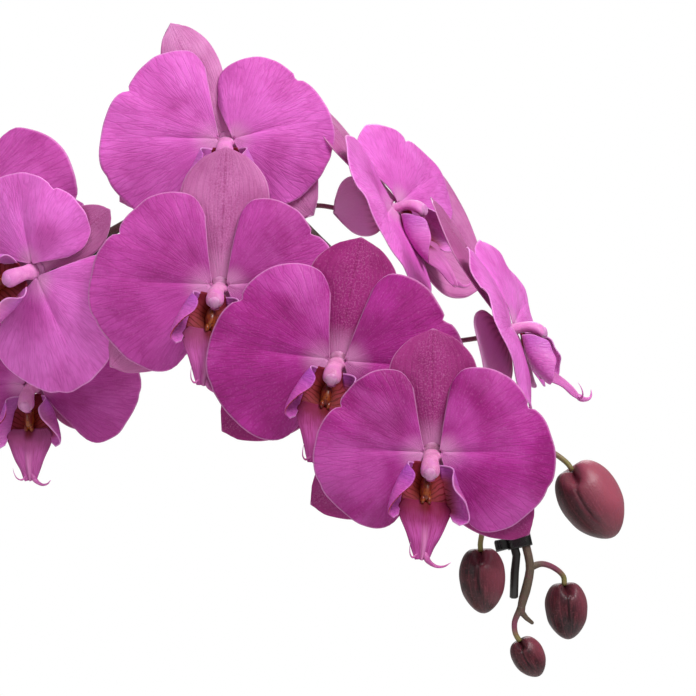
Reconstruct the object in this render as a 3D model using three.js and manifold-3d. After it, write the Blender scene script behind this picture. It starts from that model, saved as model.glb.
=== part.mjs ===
// Potted moth orchid with one arching spike: nine open blooms, four buds, six leaves, air roots,
// a glazed pot filled with bark chips, and a black rod with clips that carries the spike.
// Millimetres, +Z up, origin at the centre of the pot's foot, blooms facing -Y.
import * as THREE from 'three';
import { mergeVertices } from 'three/addons/utils/BufferGeometryUtils.js';
import Module from 'manifold-3d';

const wasm = await Module();
wasm.setup();

// Driving dimensions (mm)
const POT = { height: 125, rimRadius: 70, footRadius: 52, wall: 5, floor: 8, sides: 26 };
const BARK = { top: 112, chips: 18 };
const TEPAL = { thickness: 0.8, petalSteps: [3, 8], sepalSteps: [5, 2] };
const PETAL_CLAW = 1.5;
const DORSAL = { length: 55, width: 37 };
const LATERAL = { length: 56, width: 37, angle: 119 };
const STEM = { foot: 2.9, arch: 2.4, tip: 1.9, pedicel: 1.25, sides: 6 };
const ROD = { radius: 2.0, offset: 5.3, sides: 6 };
const CROWN = { radius: 9, bottom: 100, shoulder: 146, tip: 157 };
const GAP = 0.35;

const V = (x, y, z) => new THREE.Vector3(x, y, z);
const rad = THREE.MathUtils.degToRad;
const clamp = THREE.MathUtils.clamp;

let seed = 20771;
const random = () => {
  seed = (seed * 16807) % 2147483647;
  return seed / 2147483647;
};

// Materials
const paint = (hex, roughness = 0.55, metalness = 0) =>
  new THREE.MeshStandardMaterial({ color: hex, roughness, metalness });
const M = {
  pot: paint(0xe9e6df, 0.18),
  bark: paint(0x6a4630, 0.9),
  leaf: paint(0x3f6b2c, 0.4),
  root: paint(0xa9b39a, 0.7),
  stem: paint(0x6f4a44, 0.5),
  rod: paint(0x1d1918, 0.45),
  clip: paint(0x151515, 0.4),
  bud: paint(0x6b3142, 0.55),
  tepal: paint(0xbf4fa8, 0.5),
  lip: paint(0xb0358f, 0.45),
  column: paint(0xd684b4, 0.45),
};

// Shape helpers
const smooth = (t) => t * t * (3 - 2 * t);

// value at x on a list of [x, value] pairs, with a monotone, rounded run between them
function along(table, x) {
  if (x <= table[0][0]) return table[0][1];
  const last = table.length - 1;
  if (x >= table[last][0]) return table[last][1];
  let i = 0;
  while (x > table[i + 1][0]) i++;
  const [x1, y1] = table[i];
  const [x2, y2] = table[i + 1];
  const [x0, y0] = table[Math.max(i - 1, 0)];
  const [x3, y3] = table[Math.min(i + 2, last)];
  const t = (x - x1) / (x2 - x1);
  const m1 = i > 0 ? ((y2 - y0) / (x2 - x0)) * (x2 - x1) : y2 - y1;
  const m2 = i + 2 <= last ? ((y3 - y1) / (x3 - x1)) * (x2 - x1) : y2 - y1;
  const a = 2 * t ** 3 - 3 * t ** 2 + 1;
  const b = t ** 3 - 2 * t ** 2 + t;
  const c = -2 * t ** 3 + 3 * t ** 2;
  const d = t ** 3 - t ** 2;
  return a * y1 + b * m1 + c * y2 + d * m2;
}

function geometryOf(points, faces) {
  const g = new THREE.BufferGeometry();
  g.setAttribute('position', new THREE.Float32BufferAttribute(points.flatMap((p) => [p.x, p.y, p.z]), 3));
  g.setIndex(faces);
  g.computeVertexNormals();
  return g;
}

// thin closed blade: surface(u, v) thickened by t, with the same diagonal on both faces
function blade(surface, nu, nv, t, spread = (v) => v) {
  const points = [];
  const e = 1e-3;
  for (const side of [0.5, -0.5]) {
    for (let i = 0; i <= nu; i++) {
      for (let j = 0; j <= nv; j++) {
        const u = i / nu;
        const v = spread(j / nv);
        const du = surface(Math.min(u + e, 1), v).sub(surface(Math.max(u - e, 0), v));
        const dv = surface(u, Math.min(v + e, 1)).sub(surface(u, Math.max(v - e, 0)));
        const n = du.cross(dv).normalize();
        const th = typeof t === 'function' ? t(u, v) : t;
        points.push(surface(u, v).addScaledVector(n, side * th));
      }
    }
  }
  const half = (nu + 1) * (nv + 1);
  const at = (i, j) => i * (nv + 1) + j;
  const faces = [];
  const quad = (a, b, c, d) => faces.push(a, b, c, a, c, d);
  for (let i = 0; i < nu; i++) {
    for (let j = 0; j < nv; j++) {
      const [a, b, c, d] = [at(i, j), at(i + 1, j), at(i + 1, j + 1), at(i, j + 1)];
      faces.push(a, b, c, a, c, d);
      faces.push(a + half, c + half, b + half, a + half, d + half, c + half);
    }
  }
  for (let i = 0; i < nu; i++) {
    quad(at(i + 1, 0), at(i, 0), at(i, 0) + half, at(i + 1, 0) + half);
    quad(at(i, nv), at(i + 1, nv), at(i + 1, nv) + half, at(i, nv) + half);
  }
  for (let j = 0; j < nv; j++) {
    quad(at(nu, j + 1), at(nu, j), at(nu, j) + half, at(nu, j + 1) + half);
    quad(at(0, j), at(0, j + 1), at(0, j + 1) + half, at(0, j) + half);
  }
  return geometryOf(points, faces);
}

// closed pipe from stations { c: centre, n, b: the ring's two axes, r: [along n, along b] }
function pipe(stations, sides) {
  const ring = [];
  for (const { c, n, b, r } of stations) {
    for (let k = 0; k < sides; k++) {
      const a = (2 * Math.PI * k) / sides;
      ring.push(c.clone().addScaledVector(n, r[0] * Math.cos(a)).addScaledVector(b, r[1] * Math.sin(a)));
    }
  }
  const first = ring.length;
  const spans = stations.length - 1;
  ring.push(stations[0].c.clone(), stations[spans].c.clone());
  const faces = [];
  for (let i = 0; i < spans; i++) {
    for (let k = 0; k < sides; k++) {
      const l = (k + 1) % sides;
      const [a, b, c, d] = [i * sides + k, i * sides + l, (i + 1) * sides + l, (i + 1) * sides + k];
      faces.push(a, b, c, a, c, d);
    }
  }
  for (let k = 0; k < sides; k++) {
    const l = (k + 1) % sides;
    faces.push(first, l, k);
    faces.push(first + 1, spans * sides + k, spans * sides + l);
  }
  return geometryOf(ring, faces);
}

// closed tube through the points; radius is a number or a function of t that gives [across, up]
function tube(points, radius, steps, sides, up = null) {
  const curve = new THREE.CatmullRomCurve3(points, false, 'centripetal');
  const frames = curve.computeFrenetFrames(steps, false);
  const stations = [];
  for (let i = 0; i <= steps; i++) {
    const t = i / steps;
    let n = frames.normals[i];
    let b = frames.binormals[i];
    if (up) {
      b = up.clone().addScaledVector(frames.tangents[i], -up.dot(frames.tangents[i])).normalize();
      n = b.clone().cross(frames.tangents[i]).normalize();
    }
    const r = typeof radius === 'function' ? radius(t) : radius;
    stations.push({ c: curve.getPointAt(t), n, b, r: Array.isArray(r) ? r : [r, r] });
  }
  return pipe(stations, sides);
}

// surface of revolution about Z from [radius, z] pairs that start and end on the axis
function turned(profile, sides) {
  const g = new THREE.LatheGeometry(profile.map(([r, z]) => new THREE.Vector2(r, z)), sides);
  return g.rotateX(Math.PI / 2);
}

const tidy = (geometry) => {
  const g = geometry.clone();
  g.deleteAttribute('normal');
  g.deleteAttribute('uv');
  return mergeVertices(g, 1e-4);
};

function solid(geometry) {
  const g = tidy(geometry);
  const triVerts = new Uint32Array(g.index.array);
  const vertProperties = new Float32Array(g.attributes.position.array);
  const body = new wasm.Manifold(new wasm.Mesh({ numProp: 3, vertProperties, triVerts }));
  if (body.volume() > 0) return body;
  for (let i = 0; i < triVerts.length; i += 3) [triVerts[i], triVerts[i + 1]] = [triVerts[i + 1], triVerts[i]];
  return new wasm.Manifold(new wasm.Mesh({ numProp: 3, vertProperties, triVerts }));
}

function fromSolid(body) {
  const mesh = body.getMesh();
  const g = new THREE.BufferGeometry();
  const positions = [];
  for (let i = 0; i < mesh.vertProperties.length; i += mesh.numProp) {
    positions.push(...mesh.vertProperties.slice(i, i + 3));
  }
  g.setAttribute('position', new THREE.Float32BufferAttribute(positions, 3));
  g.setIndex([...mesh.triVerts]);
  g.computeVertexNormals();
  return g;
}

// union of the parts; loose scraps that the union leaves are dropped
function join(list) {
  const bodies = list.map(solid).reduce((a, b) => a.add(b)).decompose();
  bodies.sort((a, b) => b.volume() - a.volume());
  return fromSolid(bodies[0]);
}

function named(name, geometry, material) {
  const mesh = new THREE.Mesh(geometry, material);
  mesh.name = name;
  return mesh;
}

// Petals and sepals, in the bloom's own frame: +X right, +Y up, +Z the way it faces
// reach of the right petal from its claw, by angle in degrees
const PETAL_REACH = [
  [-71, 25], [-68, 34], [-62, 40.6], [-50, 45.2], [-37, 47.8], [-25, 50.4], [-12, 52.2], [0, 51.6],
  [10, 50.4], [20, 48.4], [28, 46], [37, 46], [47, 45.6], [56, 44.2], [65, 41.6], [75, 37.6],
  [83, 32.6], [89, 24],
];
const PETAL_LOW = -71;
const PETAL_HIGH = 89;

function petalSurface(o) {
  const turn = rad(o.turn || 0);
  const cup = rad(o.cup || 0);
  const size = o.size || 1;
  const high = o.high || PETAL_HIGH;
  const low = o.low || PETAL_LOW;
  return (u, v) => {
    const deg = PETAL_LOW + (PETAL_HIGH - PETAL_LOW) * v;
    const angle = low + (high - low) * v;
    const uu = 0.07 + 0.93 * u;
    const r = along(PETAL_REACH, deg) * uu * size;
    const a = rad(angle);
    let x = r * Math.cos(a);
    const y = r * Math.sin(a);
    const edge = clamp((Math.abs(deg - 5) - 20) / 72, 0, 1);
    const belly = 2.6 * Math.sin(Math.PI * Math.min(uu, 1) ** 0.9) * (1 - 0.5 * edge);
    const fold = -1.3 * Math.exp(-(((deg - 2) / 9) ** 2)) * Math.sin(Math.PI * uu) * (1 - uu * 0.6);
    const wave = 1.1 * uu ** 3 * Math.sin(rad(deg * 3.4) + (o.phase || 0));
    const droop = -3.4 * uu ** 2.6 * (0.35 + (deg > 5 ? 0.22 : 0.65) * edge);
    const z = belly + fold + wave + droop + 0.1;
    // turn in the bloom's plane, then bend the blade forward past its claw
    const xr = x * Math.cos(turn) - y * Math.sin(turn);
    const yr = x * Math.sin(turn) + y * Math.cos(turn);
    const bend = Math.max(0, xr - 9);
    x = xr - bend * (1 - Math.cos(cup)) - (bend > 0 ? z * Math.sin(cup) * Math.min(1, bend / 8) : 0);
    const zz = z + bend * Math.sin(cup);
    return V(PETAL_CLAW + x, yr, zz + 0.35);
  };
}

const DORSAL_WIDTH = [
  [0, 0.2], [0.12, 0.36], [0.3, 0.72], [0.5, 0.96], [0.64, 1], [0.78, 0.9], [0.9, 0.64], [0.97, 0.36], [1, 0.14],
];
const LATERAL_WIDTH = [
  [0, 0.18], [0.12, 0.38], [0.3, 0.84], [0.45, 1], [0.6, 0.98], [0.76, 0.8], [0.9, 0.5], [0.97, 0.28], [1, 0.12],
];

function sepalSurface(o) {
  const turn = rad(o.turn || 0);
  const lean = rad(o.lean || 0);
  const length = o.length;
  const width = o.width;
  const skew = o.skew || 0;
  const start = o.start || 1.5;
  return (u, v) => {
    const s = 2 * v - 1;
    const w = along(o.profile, u) * width * 0.5;
    let x = s * w + skew * Math.sin(Math.PI * u) * width * 0.1;
    let y = start + (length - start) * u * (1 - 0.03 * s * s * u);
    const rib = 0.98 * Math.exp(-((s / 0.16) ** 2)) * u * (1 - u);
    let z = rib - 1.6 * s * s * Math.sin(Math.PI * clamp(u * 1.05, 0, 1)) - (o.fall ?? 2.8) * u * u;
    const yl = y * Math.cos(lean) + z * Math.sin(lean);
    z = z * Math.cos(lean) - y * Math.sin(lean);
    y = yl;
    const [c, k] = [Math.cos(turn), Math.sin(turn)];
    return V(x * c - y * k, x * k + y * c, z + (o.z ?? -1.75));
  };
}

const mirrorX = (f) => (u, v) => {
  const p = f(u, 1 - v);
  return V(-p.x, p.y, p.z);
};
const moved = (f, x, y) => (u, v) => {
  const p = f(u, v);
  return V(p.x + x, p.y + y, p.z);
};

function tepals(b) {
  const s = b.size;
  const [pu, pv] = TEPAL.petalSteps;
  const [su, sv] = TEPAL.sepalSteps;
  const t = TEPAL.thickness;
  const ease = (v) => 0.5 - 0.5 * Math.cos(Math.PI * (0.12 + 0.76 * v));
  const lo = ease(0);
  const hi = ease(1);
  const spread = (v) => (ease(v) - lo) / (hi - lo);
  const right = petalSurface({ ...b.right, size: s * (b.right?.size || 1), phase: 0.4 });
  const left = mirrorX(petalSurface({ ...b.left, size: s * (b.left?.size || 1), phase: 1.3 }));
  const dorsal = sepalSurface({
    profile: DORSAL_WIDTH, fall: 4.6,
    length: DORSAL.length * s * (b.dorsal?.size || 1), width: DORSAL.width * s * (b.dorsal?.wide || 1),
    turn: b.dorsal?.turn || 0, lean: b.dorsal?.lean || 0, z: b.dorsal?.z ?? -2.7,
  });
  const lateral = (side, o) => {
    const f = sepalSurface({
      profile: LATERAL_WIDTH,
      length: LATERAL.length * s * (o?.size || 1), width: LATERAL.width * s * (o?.wide || 1),
      turn: -(LATERAL.angle + (o?.turn || 0)), lean: 3 + (o?.lean || 0), skew: -1, start: 0.5,
    });
    return side > 0 ? moved(f, 1.7, -1.5) : moved(mirrorX(f), -1.7, -1.5);
  };
  const receptacle = turned([[0, -6], [2.1, -6], [4.9, -2.2], [4.8, 1.3], [0, 1.3]], 6);
  return join([
    receptacle,
    blade(right, pu, pv, t, spread),
    blade(left, pu, pv, t, spread),
    blade(dorsal, su, sv, t),
    blade(lateral(1, b.lateralRight), su, sv, t),
    blade(lateral(-1, b.lateralLeft), su, sv, t),
  ]);
}

// Column and lip
function column(s) {
  const path = [V(0, 0.8, 1.65), V(0, 0.5, 4), V(0, -1.6, 8), V(0, -4.4, 11.6), V(0, -6.6, 13.4)];
  const r = (t) => [
    s * along([[0, 2.9], [0.35, 3.3], [0.7, 4.0], [0.88, 3.9], [1, 1.6]], t),
    s * along([[0, 2.4], [0.35, 2.5], [0.7, 3.1], [0.88, 3.2], [1, 1.4]], t),
  ];
  return tidy(tube(path, r, 4, 7, V(0, 1, 0.2)));
}

// half width of the middle lobe along its length
const MID_LOBE_HALF = [[0, 5], [0.1, 8.5], [0.2, 11.6], [0.36, 11], [0.55, 8.2], [0.75, 5.2], [0.9, 3.3], [1, 2.4]];

function lip(b) {
  const k = b.size * (b.lip || 1);
  const base = tube(
    [V(0, -4.3, 3.0), V(0, -8, 4.3), V(0, -13, 6.0), V(0, -18, 8.2), V(0, -23, 12)],
    (t) => [
      along([[0, 2.1], [0.2, 5], [0.42, 9.6], [0.68, 10.2], [1, 4.5]], t),
      along([[0, 1.1], [0.2, 1.5], [0.42, 1.8], [0.68, 1.6], [1, 1.1]], t),
    ], 3, 6, V(0, 1, 1));
  const lobe = (side) => (u, v) => {
    const a = 2 * u - 1;
    const c = 2 * v - 1;
    const x = a * Math.sqrt(1 - 0.42 * c * c);
    const y = c * Math.sqrt(1 - 0.42 * a * a);
    const h = 13 * x;
    const d = 8.2 * y;
    const bulge = 1.9 * (1 - 0.8 * (x * x + y * y)) + 1.0 * Math.max(0, -x) * -1;
    return V(side * (11.3 + 0.4 * h + 0.33 * d + bulge), -15 - 0.9 * h - 0.3 * d, 11.5 - 0.15 * h + 0.88 * d);
  };
  const midPath = new THREE.CatmullRomCurve3([
    V(0, -19, 8.5), V(0, -25, 12.3), V(0, -32, 15.4), V(0, -39.5, 17.4), V(0, -45.6, 18)], false, 'centripetal');
  const mid = (u, v) => {
    const s = 2 * v - 1;
    const p = midPath.getPointAt(u);
    const w = along(MID_LOBE_HALF, u);
    const keel = 1.1 * Math.exp(-((s / 0.2) ** 2)) * (1 - u);
    const lift = keel - 2.0 * s * s * Math.sin(Math.PI * clamp(u + 0.1, 0, 1));
    return V(s * w, p.y - 0.3 * lift, p.z + lift);
  };
  const tendril = (side) => {
    const [x, y, z] = [1.5 * side, -45.2, 17.9];
    return tube([
      V(x, y + 1.6, z - 0.4), V(x + 1.2 * side, y - 2.2, z + 1.6), V(x + 3.8 * side, y - 3.6, z + 4.2),
      V(x + 6.6 * side, y - 1.8, z + 6.6), V(x + 7.4 * side, y + 2.2, z + 7),
    ], (t) => 1.0 - 0.6 * t, 3, 3);
  };
  const g = join([
    base, blade(lobe(1), 3, 3, 0.8), blade(lobe(-1), 3, 3, 0.8), blade(mid, 5, 2, 0.8), tendril(1), tendril(-1),
  ]);
  // everything but the foot keeps the bloom's scale
  g.translate(0, 4.3, -1.7);
  g.scale(k, k, k);
  g.rotateX(rad(b.lipPitch || 0));
  g.rotateZ(-rad(b.lipYaw || 0));
  g.translate(0, -4.3, 1.7);
  return g;
}

// Blooms: centre, facing direction and up direction
const BLOOMS = [
  { // 1: front of the cluster, square on
    at: [255.9, -84, 484.1], face: [-0.13, -0.99, -0.03], up: [0, 0, 1], size: 1.01, lipYaw: 6,
    left: { turn: 2 }, right: {}, dorsal: { wide: 1.08 },
    lateralLeft: { turn: -6, size: 1.06, wide: 1.1 }, lateralRight: { turn: 12, size: 1.02, wide: 1.12 },
  },
  { // 2
    at: [212.9, -45, 525.4], face: [-0.15, -0.99, 0], up: [0.11, 0, 0.99], size: 1.03, lipYaw: 5,
    left: { size: 1.1 }, right: { size: 1.09, turn: 1 }, dorsal: { size: 1.03, wide: 1.12, turn: -4 },
    lateralLeft: { turn: 8, size: 1.1, wide: 1.16 }, lateralRight: { turn: 6 },
  },
  { // 3
    at: [156.6, -12, 561.1], face: [-0.14, -0.99, 0.02], up: [0.03, 0, 1], size: 1.04, lipYaw: 6,
    left: { size: 1.12 }, right: { size: 1.03, turn: 5 }, dorsal: { size: 1.17, wide: 1.14 },
    lateralLeft: { turn: 8, size: 1.12, wide: 1.1 },
  },
  { // 4: top of the arch
    at: [158.2, 25, 633.6], face: [-0.05, -1, 0.02], up: [0, 0, 1], size: 1.06,
    left: { size: 1.15, turn: 3 }, right: { size: 0.94, turn: 8 }, dorsal: { size: 1.17, wide: 0.92, turn: 31 },
    lateralRight: { turn: 12, size: 0.92 },
  },
  { // 5: turned to the right, seen from its side
    at: [242.9, 44, 602.2], face: [0.771, -0.5, 0.39], up: [-0.45, 0, 0.89], size: 1.03, lipPitch: 3,
    left: { cup: 18, low: -79, size: 1.06 }, right: { cup: 3 }, dorsal: { lean: 10, size: 1.05 },
    lateralLeft: { turn: -30, wide: 0.9 }, lateralRight: { turn: 28, size: 1.2, wide: 1.4 },
  },
  { // 6: in profile on the right
    at: [295.8, -15, 539], face: [0.87, -0.208, 0.44], up: [-0.5, 0, 0.86], size: 1.03, lip: 0.9, lipPitch: 4,
    left: { cup: 12 }, right: { cup: 8, turn: 22, size: 1.18, high: 70 }, dorsal: { lean: -6, size: 1.14 },
  },
  { // 7: turned to the left
    at: [64.9, 20, 569.1], face: [-0.42, -0.9, -0.1], up: [0.9, 0, 0.36], size: 1.06,
    left: { size: 0.86 }, right: { size: 1.08 }, dorsal: { turn: 8, size: 0.84 },
    lateralLeft: { size: 0.9 }, lateralRight: { turn: 10, size: 0.82 },
  },
  { // 8: low on the left
    at: [59.3, 56, 513], face: [-0.24, -0.95, -0.2], up: [-0.05, 0, 1], size: 0.98,
    left: { turn: 8, size: 0.92, high: 80 }, right: { turn: 13, size: 1.05, high: 76 }, dorsal: { size: 0.85 },
    lateralLeft: { turn: -20 }, lateralRight: { turn: -8, size: 0.82, wide: 1.1 },
  },
  { // 9: nearest the foot of the spike
    at: [15.5, 92, 601], face: [-0.25, -0.96, -0.1], up: [0, -0.1, 1], size: 1.12,
    left: {}, right: { turn: -20, size: 1.27 }, dorsal: {}, lateralRight: { turn: 20 },
  },
];

function bloomFrame(b) {
  const z = V(...b.face).normalize();
  const y = V(...b.up).addScaledVector(z, -V(...b.up).dot(z)).normalize();
  const x = y.clone().cross(z);
  return new THREE.Matrix4().makeBasis(x, y, z).setPosition(V(...b.at));
}

const root = new THREE.Group();

BLOOMS.forEach((b, i) => {
  const g = new THREE.Group();
  bloomFrame(b).decompose(g.position, g.quaternion, g.scale);
  const name = `bloom_${i + 1}`;
  g.add(named(`${name}_tepals`, tepals(b), M.tepal));
  g.add(named(`${name}_lip`, lip(b), M.lip));
  g.add(named(`${name}_column`, column(1), M.column));
  root.add(g);
});

// Flower stem: peduncle, rachis, pedicels and bracts
const SPIKE = [
  V(0, CROWN.radius + STEM.foot + 0.9, 122), V(-0.5, 18, 139), V(-4, 26, 168), V(-11, 33, 215),
  V(-19, 44, 300), V(-19, 59, 400), V(-9, 71, 480), V(6, 78, 530), V(33, 77, 561), V(72, 70, 579),
  V(93, 66, 587), V(116, 60, 598.5),
  V(139, 53, 605), V(166, 47, 604.5), V(189, 42, 597), V(205, 34, 583), V(220, 23, 567), V(241, 8, 548),
  V(257.5, -8, 530), V(270.5, -22, 508.5), V(283, -36, 484), V(296, -46.5, 457), V(300, -50.5, 441.1),
  V(302.3, -51, 429.4), V(300.9, -51, 421), V(298.4, -51, 408.8), V(303.4, -50, 403.6),
];
const spike = new THREE.CatmullRomCurve3(SPIKE, false, 'centripetal');
const STEM_RADIUS = [[0, STEM.foot], [0.45, STEM.arch], [0.85, STEM.tip + 0.25], [0.97, STEM.tip], [1, 0.7]];
const stemRadius = (t) => along(STEM_RADIUS, t);

// nearest place on the spike to a point
function onSpike(p) {
  let best = 0;
  for (let i = 0; i <= 900; i++) {
    if (spike.getPointAt(i / 900).distanceTo(p) < spike.getPointAt(best).distanceTo(p)) best = i / 900;
  }
  return best;
}

const spikeSteps = [];
for (let i = 0; i < 34; i++) spikeSteps.push((0.94 * i) / 34);
for (let i = 0; i <= 9; i++) spikeSteps.push(0.94 + (0.06 * i) / 9);
const inside = (t) => V(0, 1, 0).cross(spike.getTangentAt(t)).normalize();
const station = (t, offset, r) => {
  const n = inside(t);
  const c = spike.getPointAt(t).addScaledVector(n, offset);
  return { c, n, b: spike.getTangentAt(t).cross(n).normalize(), r: [r, r] };
};
const stemParts = [pipe(spikeSteps.map((t) => station(t, 0, stemRadius(t))), STEM.sides)];

function pedicel(from, mids, to, axis, radius = STEM.pedicel) {
  const end = to.clone();
  const near = end.clone().addScaledVector(axis, -7);
  const start = spike.getPointAt(onSpike(from));
  stemParts.push(tube([start, ...mids, near, end],
    (t) => along([[0, radius * 1.1], [0.7, radius], [1, radius * 1.35]], t), 5, 5));
  return start;
}

// where each bloom's pedicel leaves the spike, and what it bends round on the way
const PEDICELS = [
  [V(283, -36, 484), [V(273, -52, 488)]],
  [V(243, 6, 546), [V(234, -10, 539)]],
  [V(166, 47, 604.5), [V(162, 32, 592)]],
  [V(139, 53, 605), [V(146, 48, 617)]],
  [V(185, 42, 598), [V(203, 46, 602)]],
  [V(255, -6, 533), [V(268, -8, 534)]],
  [V(66, 70, 577), [V(68, 54, 576)]],
  [V(12, 78, 540), [V(12, 86, 534), V(24, 86, 523), V(44, 77, 516)]],
  [V(3, 77, 522), [V(7, 94, 526), V(11, 112, 556)]],
];
BLOOMS.forEach((b, i) => {
  const m = bloomFrame(b);
  const axis = V(0, 0, 1).transformDirection(m);
  const end = V(0, 0, -6 - GAP).applyMatrix4(m);
  pedicel(PEDICELS[i][0], PEDICELS[i][1], end, axis);
});

// Buds: where the pedicel meets the bud, and the bud's tip
const BUDS = [
  {
    base: V(320.6, -42, 474.8), tip: V(342.0, -44, 441.6), radius: 15.3,
    from: V(284, -36, 480), mids: [V(298, -38, 486), V(311, -41, 483.5)],
  },
  {
    base: V(279.1, -60, 437.0), tip: V(280.5, -61, 409.0), radius: 10.6,
    from: V(291, -46, 460), mids: [V(283.5, -56, 456)],
  },
  {
    base: V(318.9, -42, 419.9), tip: V(320.9, -43, 395.2), radius: 9.9,
    from: V(302.3, -51, 429.6), mids: [V(308, -48, 430.8), V(314.6, -44, 428.2)],
  },
  {
    base: V(297.8, -50, 394.8), tip: V(306.8, -50, 379), radius: 7.6,
    from: V(298.8, -51, 411), mids: [V(295.2, -50.5, 404)],
  },
];

function bud(b) {
  const axis = b.tip.clone().sub(b.base);
  const length = axis.length();
  axis.normalize();
  const g = new THREE.SphereGeometry(1, 12, 6);
  const p = g.attributes.position;
  for (let i = 0; i < p.count; i++) {
    const v = V(p.getX(i), p.getY(i), p.getZ(i));
    const t = (1 + v.y) / 2;
    const a = Math.atan2(v.z, v.x);
    const groove = 1 - 0.05 * Math.max(0, Math.cos(3 * a)) ** 2;
    const belly = (0.93 + 0.22 * Math.sin(Math.PI * t ** 0.75) - 0.14 * t) * groove;
    p.setXYZ(i, v.x * b.radius * belly, length * t, v.z * b.radius * belly);
  }
  const q = new THREE.Quaternion().setFromUnitVectors(V(0, 1, 0), axis);
  g.applyQuaternion(q);
  return tidy(g);
}
BUDS.forEach((b, i) => {
  const mesh = named(`bud_${i + 1}`, bud(b), M.bud);
  mesh.position.copy(b.base);
  root.add(mesh);
  const axis = b.tip.clone().sub(b.base).normalize();
  const end = b.base.clone().addScaledVector(axis, -GAP);
  const near = end.clone().addScaledVector(axis, -4);
  stemParts.push(tube([spike.getPointAt(onSpike(b.from)), ...b.mids, near, end], (t) => 1.45 - 0.2 * t, 5, 5));
});

// sheathing bracts at the lower joints of the peduncle
for (const [t, length] of [[0.12, 17], [0.25, 15], [0.37, 13]]) {
  const c = spike.getPointAt(t).addScaledVector(inside(t), -0.5);
  const a = spike.getTangentAt(t);
  const r = stemRadius(t);
  stemParts.push(tube(
    [-3, length * 0.5, length].map((run) => c.clone().addScaledVector(a, run)),
    (s) => along([[0, r + 0.3], [0.3, r + 0.45], [1, r + 0.1]], s), 2, 6));
}
root.add(named('flower_stem', join(stemParts), M.stem));

// Rod and clips
const nearestStep = (p) => spikeSteps.reduce((best, t) => (
  spike.getPointAt(t).distanceTo(p) < spike.getPointAt(best).distanceTo(p) ? t : best), 0);
const rodStart = nearestStep(V(-15, 38, 258));
const rodEnd = nearestStep(V(301, -51, 436));
const upright = (x, y, z) => ({ c: V(x, y, z), n: V(1, 0, 0), b: V(0, 1, 0), r: [ROD.radius, ROD.radius] });
const first = station(rodStart, ROD.offset, ROD.radius);
const rodFoot = V(first.c.x + 4.2, first.c.y + 0.6, 30);
const rodStations = [
  upright(rodFoot.x, rodFoot.y, rodFoot.z), upright(rodFoot.x, rodFoot.y, 150),
  upright(rodFoot.x - 0.6, rodFoot.y - 0.1, 210),
];
for (const t of spikeSteps) {
  if (t >= rodStart && t <= rodEnd) rodStations.push(station(t, ROD.offset, ROD.radius));
}
const last = rodStations[rodStations.length - 1];
for (const [x, z] of [[295, 427], [294.2, 415]]) {
  rodStations.push({ ...last, c: V(x, -51, z), n: V(-1, 0, 0), b: V(0, 1, 0) });
}
root.add(named('stake', tidy(pipe(rodStations, ROD.sides)), M.rod));

function clip(t) {
  const r = stemRadius(t) + 0.55;
  const rr = ROD.radius + 0.6;
  const wall = 1.3;
  const d = ROD.offset;
  // oval band round the stem (at 0) and the rod (at d), with two finger tabs
  const oval = (grow) => {
    const big = r + grow;
    const small = rr + grow;
    const pts = [];
    const n = 4;
    for (let i = 0; i <= n; i++) {
      const a = Math.PI / 2 + (Math.PI * i) / n;
      pts.push(new THREE.Vector2(big * Math.cos(a), big * Math.sin(a)));
    }
    for (let i = 0; i <= n; i++) {
      const a = -Math.PI / 2 + (Math.PI * i) / n;
      pts.push(new THREE.Vector2(d + small * Math.cos(a), small * Math.sin(a)));
    }
    return pts;
  };
  const shape = new THREE.Shape(oval(wall));
  shape.holes.push(new THREE.Path(oval(0)));
  const band = new THREE.ExtrudeGeometry(shape, { depth: 6, bevelEnabled: false, steps: 1 }).translate(0, 0, -3);
  const tab = (side) => new THREE.BoxGeometry(6.5, 1.4, 5)
    .rotateZ(side * 0.5)
    .translate(d + rr + wall + 2.0, side * 2.1, 0);
  const g = join([band, tab(1), tab(-1)]);
  const z = spike.getTangentAt(t);
  const x = inside(t);
  const y = z.clone().cross(x);
  const mesh = new THREE.Mesh(g, M.clip);
  const place = new THREE.Matrix4().makeBasis(x, y, z).setPosition(spike.getPointAt(t));
  place.decompose(mesh.position, mesh.quaternion, mesh.scale);
  return mesh;
}
[V(-19, 57, 386), V(116, 60, 598.5), V(299.6, -50, 443)].map(nearestStep).forEach((t, i) => {
  const mesh = clip(t);
  mesh.name = `clip_${i + 1}`;
  root.add(mesh);
});

// Leaves
// azimuth (degrees), foot height, rise angle at the foot, total bend, length, width
const LEAVES = [
  [184, 122, 20, 62, 205, 74],
  [-4, 126, 24, 66, 225, 80],
  [170, 131, 32, 70, 240, 84],
  [12, 136, 38, 74, 235, 82],
  [192, 141, 48, 70, 200, 72],
  [-14, 146, 60, 62, 150, 58],
];
const LEAF_WIDTH = [
  [0, 0.25], [0.08, 0.28], [0.22, 0.54], [0.42, 0.9], [0.6, 1], [0.78, 0.9], [0.9, 0.66], [0.97, 0.38], [1, 0.16],
];

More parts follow.
